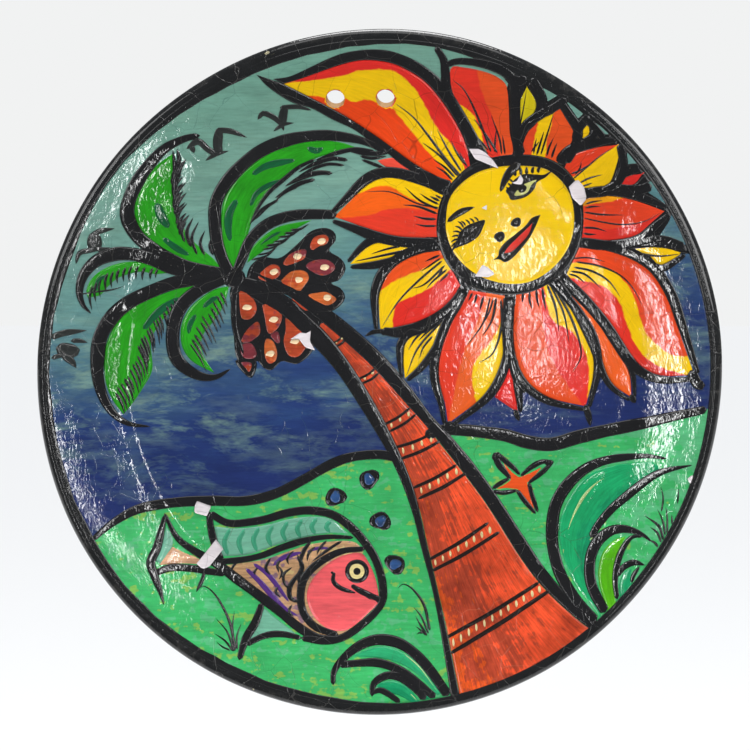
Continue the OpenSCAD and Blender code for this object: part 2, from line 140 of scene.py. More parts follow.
# %% [markdown]
# ## From a grid of points to a mesh
# Every film of paint is a grid with two parameters: u runs along the brush stroke and v across it. The grid
# is laid on the face twice, once at the top of the paint and once just above the chalk, and the two sheets
# are joined round their border. That makes a thin closed solid. Whole index arrays give the faces, so no loop
# visits a vertex.

# %% Grids and meshes
FILM_BOTTOM = 0.08  # where every film starts, in mm above the clay
PICTURE_R = 99.3    # the picture ends here, under the black rim
WELD = 1e-7         # metres between points that are taken as one


def new_object(name, points, faces, uv=None, tone=None):
    """A mesh object from an array of points and an array of quads. uv and tone are stored per vertex.
    Points that fall on one spot, as at the middle of a disc, are welded into one."""
    mesh = bpy.data.meshes.new(name)
    faces = np.asarray(faces, dtype=np.int32)
    sides = faces.shape[1]
    mesh.vertices.add(len(points))
    mesh.vertices.foreach_set("co", np.asarray(points, dtype=np.float32).ravel())
    mesh.loops.add(faces.size)
    mesh.loops.foreach_set("vertex_index", faces.ravel())
    mesh.polygons.add(len(faces))
    mesh.polygons.foreach_set("loop_start", np.arange(0, faces.size, sides, dtype=np.int32))
    mesh.polygons.foreach_set("use_smooth", np.ones(len(faces), dtype=bool))
    if uv is not None:
        layer = mesh.uv_layers.new(name="Stroke")
        layer.data.foreach_set("uv", np.asarray(uv, dtype=np.float32)[faces.ravel()].ravel())
    if tone is not None:
        mesh.attributes.new("tone", "FLOAT", "POINT").data.foreach_set("value",
            np.asarray(tone, dtype=np.float32))
    mesh.update(calc_edges=True)
    work = bmesh.new()
    work.from_mesh(mesh)
    bmesh.ops.remove_doubles(work, verts=work.verts, dist=WELD)
    work.to_mesh(mesh)
    work.free()
    mesh.validate()
    thing = bpy.data.objects.new(name, mesh)
    scene.collection.objects.link(thing)
    return thing


def grid_quads(rows, columns, round_shape=False):
    """Corners of the quads of a rows x columns grid, row by row. A round shape's last column joins its
    first."""
    index = np.arange(rows * columns).reshape(rows, columns)
    if round_shape:
        index = np.concatenate([index, index[:, :1]], axis=1)
    return np.stack([index[:-1, :-1], index[1:, :-1], index[1:, 1:], index[:-1, 1:]], axis=-1).reshape(-1, 4)


def border(rows, columns):
    """Indices of the grid's border, once round."""
    index = np.arange(rows * columns).reshape(rows, columns)
    return np.concatenate([index[0, :-1], index[:-1, -1], index[-1, :0:-1], index[:0:-1, 0]])


def film_parts(x, z, lift, uv=None, tone=None, round_shape=False):
    """Top and bottom sheets of one film with its side wall: points, quads, uv and tone. The rows of a round
    shape are rings, the first of them shrunk to the middle point."""
    rows, columns = x.shape
    count = rows * columns
    keep = np.minimum(1, PICTURE_R / np.maximum(np.hypot(x, z), 1))
    x, z = x * keep, z * keep
    top = drape(x, z, lift).reshape(-1, 3)
    under = drape(x, z, np.full_like(x, FILM_BOTTOM)).reshape(-1, 3)
    quads = grid_quads(rows, columns, round_shape)
    ring = np.arange(count - columns, count) if round_shape else border(rows, columns)
    after = np.roll(ring, -1)
    wall = np.stack([ring, after, after + count, ring + count], axis=-1)
    sheet = np.concatenate([quads, quads[:, ::-1] + count, wall])
    a, b, c, d = (top[quads[:, k]] for k in range(4))
    if np.cross(c - a, d - b)[:, 1].sum() > 0:
        sheet = sheet[:, ::-1]
    uv = np.zeros((count, 2)) if uv is None else uv.reshape(-1, 2)
    tone = np.zeros(count) if tone is None else tone.reshape(-1)
    return np.concatenate([top, under]), sheet, np.concatenate([uv, uv]), np.concatenate([tone, tone])


def joined(name, parts):
    """One object from several films, each kept as its own closed shell."""
    points, quads, uvs, tones, start = [], [], [], [], 0
    for part_points, part_quads, uv, tone in parts:
        points.append(part_points)
        quads.append(part_quads + start)
        uvs.append(uv)
        tones.append(tone)
        start += len(part_points)
    return new_object(name, np.concatenate(points), np.concatenate(quads), np.concatenate(uvs),
        np.concatenate(tones))


# %% [markdown]
# ## Lines drawn by hand
# A painter's line passes through a few chosen points. A Catmull-Rom spline does the same: each stretch is a
# cubic that leaves one point and reaches the next in the direction of their neighbours. The result is spaced
# evenly along its length, so that quads stay the same size.

# %% Splines
def curve(points, count=None, step=0.9, closed=False):
    """Catmull-Rom line through the points, as count points at equal distances (or one about every step
    mm)."""
    p = np.asarray(points, dtype=float)
    if closed:
        p = np.concatenate([p, p[:1]])
        before, after = np.concatenate([p[-2:-1], p[:-2]]), np.concatenate([p[2:], p[1:2]])
    else:
        before = np.concatenate([[2 * p[0] - p[1]], p[:-1]])[:-1]
        after = np.concatenate([p[2:], [2 * p[-1] - p[-2]]])
    a, b, c, d = before[:, None], p[:-1, None], p[1:, None], after[:, None]
    t = np.linspace(0, 1, 16, endpoint=False)[None, :, None]
    fine = 0.5 * (2 * b + t * (c - a) + t**2 * (2 * a - 5 * b + 4 * c - d) + t**3 * (3 * b - a - 3 * c + d))
    fine = np.concatenate([fine.reshape(-1, 2), p[-1:]])
    reach = np.concatenate([[0], np.cumsum(np.hypot(*np.diff(fine, axis=0).T))])
    count = count or max(6, int(reach[-1] / step) + 1)
    even = np.linspace(0, reach[-1], count)
    return np.stack([np.interp(even, reach, fine[:, 0]), np.interp(even, reach, fine[:, 1])], axis=-1)


def length_of(line):
    """Length of a line of points."""
    return float(np.hypot(*np.diff(line, axis=0).T).sum())


def sideways(line):
    """Unit vectors to the left of the line's direction."""
    ahead = np.gradient(line, axis=0)
    ahead /= np.maximum(np.hypot(ahead[:, 0], ahead[:, 1]), 1e-9)[:, None]
    return np.stack([-ahead[:, 1], ahead[:, 0]], axis=-1)


def unsteady(count, size, wavelength=9):
    """A small smooth wander along a line: seeded values every few points, joined by interpolation."""
    knots = max(4, count // wavelength + 3)
    return size * np.interp(np.linspace(0, 1, count), np.linspace(0, 1, knots), rng.uniform(-1, 1, knots))


# %% [markdown]
# ## Two brush marks: the filled shape and the stroke
# A filled shape lies between two edge lines that run from its base to its tip: the grid goes straight from
# one edge to the other. A stroke is a ribbon along one line, domed like thick paint, whose width swells and
# tapers.

# %% Filled shapes and strokes
COLOUR_TOP, LINE_TOP = 0.26, 0.42


def painted(tone, x, z, plain):
    """The tone of every point: a number given once, a function of x and z, or the plain value."""
    if callable(tone):
        return tone(x, z)
    return np.full(x.shape, float(tone)) if tone is not None else plain


def border_drop(top):
    """How far a film thins toward its border: less for the lowest films, so they never dip into the sky's
    film."""
    return min(0.08, 0.8 * max(top - 0.165, 0))


def leaf(one, other, top=COLOUR_TOP, tone=None, step=1.0):
    """Film between two edge lines that run side by side. The top is level and falls off at the border."""
    run = max(length_of(curve(one, 60)), length_of(curve(other, 60)))
    rows = max(8, int(run / step))
    first, second = curve(one, rows), curve(other, rows)
    across = np.hypot(*(first - second).T).max()
    columns = max(7, int(across / step) + 1)
    v = np.linspace(0, 1, columns)[None, :, None]
    grid = first[:, None] * (1 - v) + second[:, None] * v
    u_flat = np.broadcast_to(np.linspace(0, 1, rows)[:, None], grid.shape[:2])
    v_flat = np.broadcast_to(v[..., 0], grid.shape[:2])
    margin = (1 - np.abs(2 * v_flat - 1)) * np.hypot(*(first - second).T)[:, None] / 2
    lift = top - border_drop(top) * np.exp(-((margin / 0.6) ** 2))
    uv = np.stack([u_flat * run, (v_flat - 0.5) * across], axis=-1) * MM
    x, z = grid[..., 0], grid[..., 1]
    return film_parts(x, z, lift, uv, painted(tone, x, z, v_flat))


def patch(outline, centre=None, top=COLOUR_TOP, tone=None, step=1.1, smooth_line=True):
    """Film inside a closed outline: copies of the outline that shrink to a centre point."""
    ring = np.asarray(outline, dtype=float)
    around = np.concatenate([ring, ring[:1]])
    count = max(18, int(length_of(around) / step))
    if smooth_line:
        line = curve(ring, count + 1, closed=True)[:-1]
    else:
        reach = np.concatenate([[0], np.cumsum(np.hypot(*np.diff(around, axis=0).T))])
        even = np.linspace(0, reach[-1], count, endpoint=False)
        line = np.stack([np.interp(even, reach, around[:, 0]), np.interp(even, reach, around[:, 1])], axis=-1)
    middle = np.asarray(centre if centre is not None else ring.mean(axis=0), dtype=float)
    size = np.hypot(*(line - middle).T).max()
    share = np.linspace(0, 1, max(4, int(size / step) + 1))[:, None, None]
    grid = middle + share * (line - middle)
    x, z = grid[..., 0], grid[..., 1]
    spread = np.broadcast_to(share[..., 0], x.shape)
    lift = top - border_drop(top) * np.exp(-(((1 - spread) * size / 0.6) ** 2))
    return film_parts(x, z, lift, (grid - middle) * MM, painted(tone, x, z, spread), round_shape=True)


def oval(centre, across, tall, turn=0, **how):
    """Film over an ellipse, turned anticlockwise by turn degrees."""
    a = np.linspace(0, 2 * np.pi, 24, endpoint=False)
    t = math.radians(turn)
    px, pz = np.cos(a) * across / 2, np.sin(a) * tall / 2
    ring = np.stack([centre[0] + px * math.cos(t) - pz * math.sin(t), centre[1] + px * math.sin(t) + pz
        * math.cos(t)], -1)
    return patch(ring, centre, **how)


def stroke(points, wide, start=0.3, end=0.1, top=LINE_TOP, steady=0.06, step=0.8, belly=0.5, tone=None,
        base=0.2):
    """Ribbon along a line. Its width grows from start to full at belly and falls to end, as shares of wide.
    base is the height of the paint that it crosses, which a thin stroke barely rises above."""
    line = curve(points, step=step)
    line = line[np.hypot(*line.T) < PICTURE_R]
    if len(line) < 6:  # most of it lies under the rim: keep what is left, or draw it a little further in
        print("stroke cut short near", points[0])
        line = curve(line, 6) if len(line) > 1 else np.linspace(points[0], points[-1], 6) * 0.97
    rows = len(line)
    u = np.linspace(0, 1, rows)
    rise = start + (1 - start) * np.sin(np.clip(u / belly, 0, 1) * np.pi / 2)
    fall = end + (1 - end) * np.sin(np.clip((1 - u) / (1 - belly), 0, 1) * np.pi / 2)
    reach = length_of(line)
    near_end = np.minimum(u, 1 - u) * reach
    cap = np.sqrt(np.clip(near_end / max(0.25 * wide, 0.2), 0.02, 1))
    half = wide / 2 * np.minimum(rise, fall) * cap * (1 + unsteady(rows, steady))
    line = line + sideways(line) * unsteady(rows, steady * wide * 0.35)[:, None]
    columns = 7 if wide > 1.6 else 5 if wide > 0.9 else 3
    v = np.linspace(-1, 1, columns)
    grid = line[:, None] + sideways(line)[:, None] * (half[:, None] * v)[..., None]
    dome = 1 - 0.3 * v**4
    thick = np.clip(half * 2 / 1.2, 0.45, 1)[:, None]
    lift = base + (top - base) * thick * dome[None, :]
    uv = np.stack(np.broadcast_arrays((u * reach)[:, None], half[:, None] * v), axis=-1) * MM
    x, z = grid[..., 0], grid[..., 1]
    return film_parts(x, z, lift, uv, painted(tone, x, z, np.broadcast_to(np.abs(v), x.shape)))


def strokes(rows, top, rise=0.0, swell=1.0, **how):
    """A stroke for each row of points, width, start and end. Each lies rise mm above the one before it."""
    return [stroke(points, swell * wide, start=start, end=end, top=top + rise * k, **how) for k,
        (points, wide, start, end) in enumerate(rows)]


def outlined(one, other, wide, inward=0.35, **how):
    """The two strokes round a filled shape, one just outside each edge, meeting at its tip."""
    pair = []
    middle = (curve(one, 40) + curve(other, 40)) / 2
    for edge in (one, other):
        line = curve(edge, 40)
        out = sideways(line)
        out *= np.sign(np.sum((line - middle) * out) + 1e-9)
        line = line + out * (wide / 2 - inward)
        pair.append(stroke(line[::3].tolist() + [line[-1].tolist()], wide, **how))
    return pair


def divide(*lines, soft=0.9):
    """Colour areas of one shape: tone rises by an equal step as a point passes to the left of each line in
    turn."""
    def tone(x, z):
        total = np.zeros(x.shape)
        for points in lines:
            line = curve(points, step=2.0)
            a, b = line[:-1], line[1:]
            run = b - a
            px, pz = x[..., None] - a[:, 0], z[..., None] - a[:, 1]
            t = np.clip((px * run[:, 0] + pz * run[:, 1]) / (run**2).sum(axis=1), 0, 1)
            gap = np.hypot(px - t * run[:, 0], pz - t * run[:, 1])
            near = gap.argmin(axis=-1)[..., None]
            side = np.take_along_axis(np.sign(run[:, 0] * pz - run[:, 1] * px), near, -1)[..., 0]
            total += np.clip(0.5 + side * np.take_along_axis(gap, near, -1)[..., 0] / (2 * soft), 0, 1)
        return total / len(lines)
    return tone


print("one film is", len(leaf([(0, 0), (5, 20)], [(0, 0), (-5, 20)])[0]), "points for a 20 mm leaf")


# %% [markdown]
# ## Finishes
# Tempera on chalk, under a thick varnish. A material here mixes three things: the colour areas of a shape,
# chosen by its "tone" attribute with a little noise so that their edges look brushed; the streaks of the
# brush; and a net of fine cracks. The cracks are the edges of Voronoi cells. One node group makes the
# varnish, so every colour shares it.

# %% Node helpers
def colour(code, alpha=1.0):
    """A web colour as the linear values that a shader needs."""
    parts = np.array([int(code[i:i + 2], 16) for i in (1, 3, 5)]) / 255
    linear = np.where(parts <= 0.04045, parts / 12.92, ((parts + 0.055) / 1.055) ** 2.4)
    return (*linear.tolist(), alpha)


def add(tree, kind, settings=None, **inputs):
    """A node of that kind. settings are its properties; inputs are socket values, or sockets to link."""
    node = tree.nodes.new("ShaderNode" + kind if not kind.startswith("Node") else kind)
    for key, value in (settings or {}).items():
        setattr(node, key, value)
    for key, value in inputs.items():
        numbered = key[0] == "i" and key[1:].isdigit()
        socket = node.inputs[int(key[1:]) if numbered else key.replace("_", " ")]
        if hasattr(value, "is_output"):
            tree.links.new(value, socket)
        else:
            socket.default_value = value
    return node


def maths(tree, operation, a, b=0.0, clamp=False):
    """One Math node, returning its value."""
    return add(tree, "Math", {"operation": operation, "use_clamp": clamp}, i0=a, i1=b).outputs[0]


def ramp(tree, factor, stops, interpolation="LINEAR"):
    """A ColorRamp with (position, colour) stops."""
    node = add(tree, "ValToRGB", None, Fac=factor)
    node.color_ramp.interpolation = interpolation
    elements = node.color_ramp.elements
    for k, (place, value) in enumerate(stops):
        element = elements[k] if k < 2 else elements.new(place)
        element.position, element.color = place, value
    return node.outputs["Color"]


def noise(tree, vector, scale, detail=2.0, rough=0.5, twist=0.0):
    """Value of a noise texture, 0 to 1."""
    node = add(tree, "TexNoise", None, Vector=vector, Scale=scale, Detail=detail, Roughness=rough,
        Distortion=twist)
    return node.outputs["Fac"]


def mapped(tree, vector, scale=(1, 1, 1), turn=(0, 0, 0), shift=(0, 0, 0)):
    """Coordinates stretched and turned by a Mapping node."""
    return add(tree, "Mapping", None, Vector=vector, Scale=scale, Rotation=turn, Location=shift).outputs[0]


def tinted(tree, kind, factor, first, second):
    """Mix two colours by a blend kind."""
    node = add(tree, "Mix", {"data_type": "RGBA", "blend_type": kind})
    for socket, value in ((node.inputs[0], factor), (node.inputs[6], first), (node.inputs[7], second)):
        if hasattr(value, "is_output"):
            tree.links.new(value, socket)
        else:
            socket.default_value = value
    return node.outputs[2]


# %% [markdown]
# ## The varnish
# Brushed on thick, the varnish has shrunk into small wrinkles. They show where light would glance off anyway:
# along the crease of the well and on the rim, where they are deepest. The group adds three heights and turns
# them into one normal: wrinkles, brush marks, and the thin grooves of the cracks.

# %% The varnish group
def band_mask(tree, distance, middle, reach):
    """1 where distance is near middle, falling to 0 at reach on both sides."""
    gap = maths(tree, "ABSOLUTE", maths(tree, "SUBTRACT", distance, middle))
    return maths(tree, "SUBTRACT", 1.0, maths(tree, "DIVIDE", gap, reach), clamp=True)


varnish = bpy.data.node_groups.new("wrinkled_varnish", "ShaderNodeTree")
for label, kind in (("Normal", "NodeSocketVector"), ("Crack", "NodeSocketFloat"),
        ("Gloss", "NodeSocketFloat")):
    varnish.interface.new_socket(label, in_out="OUTPUT", socket_type=kind)
place = add(varnish, "TexCoord").outputs["Object"]
apart = add(varnish, "SeparateXYZ", None, Vector=place).outputs
radius = maths(varnish, "SQRT", maths(varnish, "ADD", maths(varnish, "MULTIPLY", apart[0], apart[0]),
    maths(varnish, "MULTIPLY", apart[2], apart[2])))
wander = noise(varnish, place, 60.0, 2.0)
wobble = maths(varnish, "MULTIPLY", maths(varnish, "SUBTRACT", wander, 0.5), 0.008)
crease_mask = band_mask(varnish, maths(varnish, "ADD", radius, wobble), 0.080, 0.008)
lip_mask = band_mask(varnish, maths(varnish, "ADD", radius, wobble), 0.094, 0.006)
masks = maths(varnish, "MAXIMUM", crease_mask, lip_mask)
patchy = maths(varnish, "MULTIPLY", masks, ramp(varnish, noise(varnish, place, 130.0, 1.0),
    [(0.40, (0.35, 0.35, 0.35, 1)), (0.60, (1, 1, 1, 1))]))
wrinkle_share = maths(varnish, "MAXIMUM", patchy, 0.36)
bent = add(varnish, "VectorMath", {"operation": "ADD"}, i0=place, i1=mapped(varnish,
    add(varnish, "TexNoise", None, Vector=place, Scale=90.0, Detail=1.0).outputs["Color"],
    scale=(0.006, 0.006, 0.006))).outputs[0]
folds = noise(varnish, mapped(varnish, bent, scale=(1.0, 1.0, 0.5), turn=(0, 0.3, 0)), 620.0, 1.0, 0.4, 0.9)
folds = maths(varnish, "ABSOLUTE", maths(varnish, "SUBTRACT", folds, 0.5))
cells = add(varnish, "TexVoronoi", {"feature": "DISTANCE_TO_EDGE"}, Vector=bent,
    Scale=105.0).outputs["Distance"]
crack = add(varnish, "MapRange", None, Value=cells, i1=0.002, i2=0.010, i3=1.0, i4=0.0).outputs[0]
crack = maths(varnish, "MULTIPLY", crack, ramp(varnish, noise(varnish, place, 34.0, 2.0),
    [(0.42, (0, 0, 0, 1)), (0.56, (1, 1, 1, 1))]))
brushed = noise(varnish, mapped(varnish, place, scale=(0.25, 1.0, 1.0)), 700.0, 2.0)
wrinkled = add(varnish, "Bump", None, Strength=1.0, Distance=0.00011,
    Height=maths(varnish, "MULTIPLY", folds, wrinkle_share)).outputs[0]
marked = add(varnish, "Bump", None, Strength=0.6, Distance=0.000012, Height=brushed,
    Normal=wrinkled).outputs[0]
grooved = add(varnish, "Bump", {"invert": True}, Strength=0.5, Distance=0.00005, Height=crack, Normal=marked)
gloss = add(varnish, "MapRange", None, Value=noise(varnish, place, 25.0, 3.0), i1=0.3, i2=0.7, i3=0.035,
    i4=0.08)
group_out = varnish.nodes.new("NodeGroupOutput")
for label, source in (("Normal", grooved.outputs[0]), ("Crack", crack), ("Gloss", gloss.outputs[0])):
    varnish.links.new(source, group_out.inputs[label])
print("varnish group:", len(varnish.nodes), "nodes")

# %% [markdown]
# ## One recipe for every colour
# paint() takes the colours of a shape in the order of their tone. Streaks follow the stroke through its UV
# map, or lie across the whole plate where the painter filled a field. Mottles are the cloudy changes in thin
# paint.

# %% The paint recipe
def paint(name, colours, along="stroke", streak=0.22, mottle=0.12, edge=0.16, crack_tint="#3a2a18",
        crack=0.55, turn=0.0, fleck=None):
    """A varnished paint. along is "stroke" to follow the piece's own UV map, or "plate" for the plate's x and
    z."""
    material = bpy.data.materials.new(name)
    material.use_nodes = True
    tree = material.node_tree
    tree.nodes.clear()
    coordinates = add(tree, "TexCoord").outputs
    here = coordinates["Object"]
    coat = tree.nodes.new("ShaderNodeGroup")
    coat.node_tree = varnish
    if along == "stroke":
        lines = mapped(tree, coordinates["UV"], scale=(160, 1500, 1))
        broad = mapped(tree, coordinates["UV"], scale=(60, 420, 1))
    else:
        lines = mapped(tree, here, scale=(170, 400, 1500), turn=(0, turn, 0))
        broad = mapped(tree, here, scale=(50, 200, 330), turn=(0, turn, 0))
    fine_streak = noise(tree, lines, 1.0, 3.0, 0.6)
    broad_streak = noise(tree, broad, 1.0, 3.0, 0.6)
    if len(colours) > 1:
        tone = add(tree, "Attribute", {"attribute_name": "tone"}).outputs["Fac"]
        rough_edge = maths(tree, "MULTIPLY", maths(tree, "SUBTRACT", broad_streak, 0.5), edge * 2)
        ragged = maths(tree, "ADD", rough_edge, maths(tree, "MULTIPLY", maths(tree, "SUBTRACT",
            noise(tree, here, 420.0, 2.0), 0.5), edge * 1.5))
        gate = maths(tree, "ADD", tone, ragged)
        steps = len(colours) - 1
        stops = []
        for k, code in enumerate(colours):
            low, high = (k - 0.5 + 0.12) / steps, (k + 0.5 - 0.12) / steps
            stops += [(max(low, 0), colour(code))] if k else []
            stops += [(min(high, 1), colour(code))] if k < steps else []
        base = ramp(tree, gate, stops)
    else:
        base = colour(colours[0])
    light = add(tree, "MapRange", None, Value=fine_streak, i1=0.3, i2=0.7, i3=1 - streak * 0.6,
        i4=1 + streak * 0.5)
    cloud = add(tree, "MapRange", None, Value=noise(tree, here, 95.0, 4.0, 0.6), i1=0.3, i2=0.7,
        i3=1 - mottle, i4=1 + mottle)
    wide = add(tree, "MapRange", None, Value=broad_streak, i1=0.3, i2=0.7, i3=1 - streak * 0.5,
        i4=1 + streak * 0.5)
    value = maths(tree, "MULTIPLY", maths(tree, "MULTIPLY", light.outputs[0], cloud.outputs[0]),
        wide.outputs[0])
    shaded = add(tree, "HueSaturation", None, Value=value, Color=base).outputs[0]
    if fleck:
        specks = ramp(tree, noise(tree, here, 1500.0, 1.0), [(0.74, (0, 0, 0, 1)), (0.80, (1, 1, 1, 1))])
        shaded = tinted(tree, "MIX", specks, shaded, colour(fleck))
    cracked = tinted(tree, "MIX", maths(tree, "MULTIPLY", coat.outputs["Crack"], crack), shaded,
        colour(crack_tint))
    shader = add(tree, "BsdfPrincipled", None, Base_Color=cracked, Roughness=coat.outputs["Gloss"],
        Normal=coat.outputs["Normal"])
    add(tree, "OutputMaterial", None, Surface=shader.outputs[0])
    return material


def finish_piece(piece, node, material):
    """Gives a finished piece its material and its body, and hides the CAD node that it stands for."""
    piece.data.materials.append(material)
    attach(piece, "root")
    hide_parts(node)
    print(f"{piece.name:24s} {len(piece.data.polygons):6d} faces")
    return piece


def drilled(piece):
    """Cuts the two hanging holes through a piece with an exact boolean, and keeps the result as its mesh."""
    cut = piece.modifiers.new("holes", "BOOLEAN")
    cut.operation, cut.solver, cut.object = "DIFFERENCE", "EXACT", drills
    evaluated = piece.evaluated_get(bpy.context.evaluated_depsgraph_get())
    mesh = bpy.data.meshes.new_from_object(evaluated)
    piece.modifiers.clear()
    piece.data = mesh
    return piece


# %% [markdown]
# ## The clay
# The plate is one closed surface: from the middle of the face out over the lip, round the edge and back to
# the middle of the back. Fired clay shows only on the back and inside the holes. Its finish has specks of
# grog, faint rings from smoothing, and a worn look.

# %% The clay body
SPOKES = 288  # points round the plate
edge_lean = np.array([math.sin(lean), math.cos(lean)])
edge_middle = np.array([lip_r, float(front_height(lip_r))]) + half_t * np.array([edge_lean[0], -edge_lean[1]])


def edge_arc(size, turn, count):
    """Points (r, height) of the rounded edge, from the lip round toward the back."""
    a = np.radians(np.linspace(0, turn, count)) - lean
    return edge_middle + size * np.stack([np.sin(a), np.cos(a)], axis=-1)


def turned(r, height, waved=1.0):
    """Radii and heights swept round the plate, one row for each point of the profile. waved is each row's
    share of the hand-made unevenness, which only the front has."""
    angle = np.linspace(0, 2 * np.pi, SPOKES, endpoint=False)[None, :]
    x, z = r * np.cos(angle), r * np.sin(angle)
    away = waved * hand_wave(x, z)
    x, z = out_of_round(x, z)
    return np.stack([x, -(height + away), z], axis=-1).reshape(-1, 3) * MM


def facing_out(points, quads):
    """The quads of a closed surface, turned over if they face inward, which makes the volume inside
    negative."""
    corners = points[quads]
    volume = (np.cross(corners[:, 0] - corners[:, 2], corners[:, 1] - corners[:, 3])
        * corners.mean(axis=1)).sum()
    return quads if volume > 0 else quads[:, ::-1]


def swept(r, height, waved=1.0):
    """Points and quads of a profile swept round, facing outward."""
    waved = np.broadcast_to(waved, r.shape)[:, None]
    points = turned(r[:, None], height[:, None], waved)
    return points, facing_out(points, grid_quads(len(r), SPOKES, round_shape=True))


front_r = np.concatenate([np.linspace(0, 66, 24), np.linspace(68, 99.2, 52)])
arc = edge_arc(half_t, 178, 22)
back_r = np.concatenate([np.linspace(96.5, 68, 34), np.linspace(65, 0, 23)])
body_r = np.concatenate([front_r, arc[:, 0], back_r])
body_h = np.concatenate([front_height(front_r), arc[:, 1], back_height(back_r)])
waved = np.concatenate([np.ones(len(front_r)), np.linspace(1, 0, len(arc)), np.zeros(len(back_r))])
points, quads = swept(body_r, body_h, waved)
clay_body = new_object("fired_clay_body", points, quads)

HOLES_X, HOLES_UP, HOLE_R = (-12.75, 2.25), 82, 2.75
ROD_SIDES, ROD_RINGS, ROD_REACH = 40, 9, 14


def rod(hole_x):
    """Rings of points round a hole's axis, which stands square to the leaning rim."""
    a = np.linspace(0, 2 * np.pi, ROD_SIDES + 1)[None, :-1]
    along = np.linspace(-ROD_REACH, ROD_REACH, ROD_RINGS)[:, None]
    size = HOLE_R + 0.35 * smooth(along, 0.6, 1.6)
    across, up = size * np.cos(a), size * np.sin(a)
    x = hole_x + across
    y = float(front_height(float(HOLES_UP))) + up * math.sin(lean) + along * math.cos(lean)
    z = HOLES_UP + up * math.cos(lean) - along * math.sin(lean)
    return np.stack([x, -y, z], axis=-1).reshape(-1, 3) * MM


drill_faces = []
for k in range(len(HOLES_X)):
    index = (k * ROD_RINGS * ROD_SIDES) + np.arange(ROD_RINGS * ROD_SIDES).reshape(ROD_RINGS, ROD_SIDES)
    after = np.roll(index, -1, axis=1)
    drill_faces += np.stack([index[:-1], after[:-1], after[1:], index[1:]], axis=-1).reshape(-1, 4).tolist()
    drill_faces += [index[0, ::-1].tolist(), index[-1].tolist()]
drill_mesh = bpy.data.meshes.new("drills")
drill_mesh.from_pydata(np.concatenate([rod(x) for x in HOLES_X]).tolist(), [], drill_faces)
drills = bpy.data.objects.new("drills", drill_mesh)
scene.collection.objects.link(drills)
drilled(clay_body)
print("clay body:", len(clay_body.data.vertices), "points")

# %% [markdown]
# ## Fired clay and the white ground
# The back was never painted: buff earthenware with dark and pale grit. The front was sealed with a coat of
# chalk. It is seen only where the paint has flaked, as pinkish white chips.

# %% Clay finish and ground
def clay_finish():
    """Buff clay: noise for clouds of colour, Voronoi dots for grit, and turning rings from the distance to
    the axis."""
    material = bpy.data.materials.new("buff_earthenware")
    material.use_nodes = True
    tree = material.node_tree
    tree.nodes.clear()
    here = add(tree, "TexCoord").outputs["Object"]
    apart = add(tree, "SeparateXYZ", None, Vector=here).outputs
    r = maths(tree, "SQRT", maths(tree, "ADD", maths(tree, "MULTIPLY", apart[0], apart[0]),
        maths(tree, "MULTIPLY", apart[2], apart[2])))
    rings = maths(tree, "SINE", maths(tree, "MULTIPLY", maths(tree, "ADD", r,
        maths(tree, "MULTIPLY", noise(tree, here, 18.0, 2.0), 0.006)), 2600.0))
    clouds = ramp(tree, noise(tree, here, 22.0, 5.0, 0.6), [(0.3, colour("#b08a5e")),
        (0.5, colour("#c39c6c")), (0.72, colour("#d2b184"))])
    grit = ramp(tree, add(tree, "TexVoronoi", None, Vector=here, Scale=520.0).outputs["Distance"],
        [(0.10, (1, 1, 1, 1)), (0.17, (0, 0, 0, 1))])
    pick = ramp(tree, noise(tree, here, 300.0, 1.0), [(0.5, colour("#6d5036")), (0.55, colour("#e6d2ac"))])
    speckled = tinted(tree, "MIX", maths(tree, "MULTIPLY", grit, 0.6), clouds, pick)
    grain = noise(tree, here, 1400.0, 4.0, 0.7)
    height = maths(tree, "ADD", maths(tree, "MULTIPLY", grain, 0.6), maths(tree, "MULTIPLY", rings, 0.25))
    bump = add(tree, "Bump", None, Strength=0.7, Distance=0.00015, Height=height).outputs[0]
    shader = add(tree, "BsdfPrincipled", None, Base_Color=speckled, Roughness=0.85, Normal=bump)
    add(tree, "OutputMaterial", None, Surface=shader.outputs[0])
    return material


finish_piece(clay_body, "clay_plate", clay_finish())


def disc(name, end_r, low, high):
    """A thin closed skin over the face out to end_r, between two heights above the clay."""
    r = np.concatenate([np.linspace(0, 66, 24), np.linspace(67.5, end_r, 48)])
    height = front_height(r)
    points, quads = swept(np.concatenate([r, r[::-1]]), np.concatenate([height + high, height[::-1] + low]))
    return new_object(name, points, quads, tone=np.zeros(len(points)))


def join_into(piece, extra):
    """Makes the mesh of another object part of a piece."""
    pair = [piece, extra]
    with bpy.context.temp_override(active_object=piece, selected_editable_objects=pair,
            selected_objects=pair):
        bpy.ops.object.join()


DISC_R = 99.4
ground = drilled(disc("chalk_ground", DISC_R, -0.05, 0.10))
chalk = paint("chalk_white", ["#efe6e9"], along="plate", streak=0.12, mottle=0.16, crack=0.5,
    crack_tint="#8d8288")

# %% [markdown]
# ## Sky and sea
# One field from the blue-green sky, through a grey-blue horizon, to the dark blue sea, painted with long
# level strokes. The change of colour is a ramp on height, bent by broad noise. Pale scrubbed patches lie
# along the horizon.

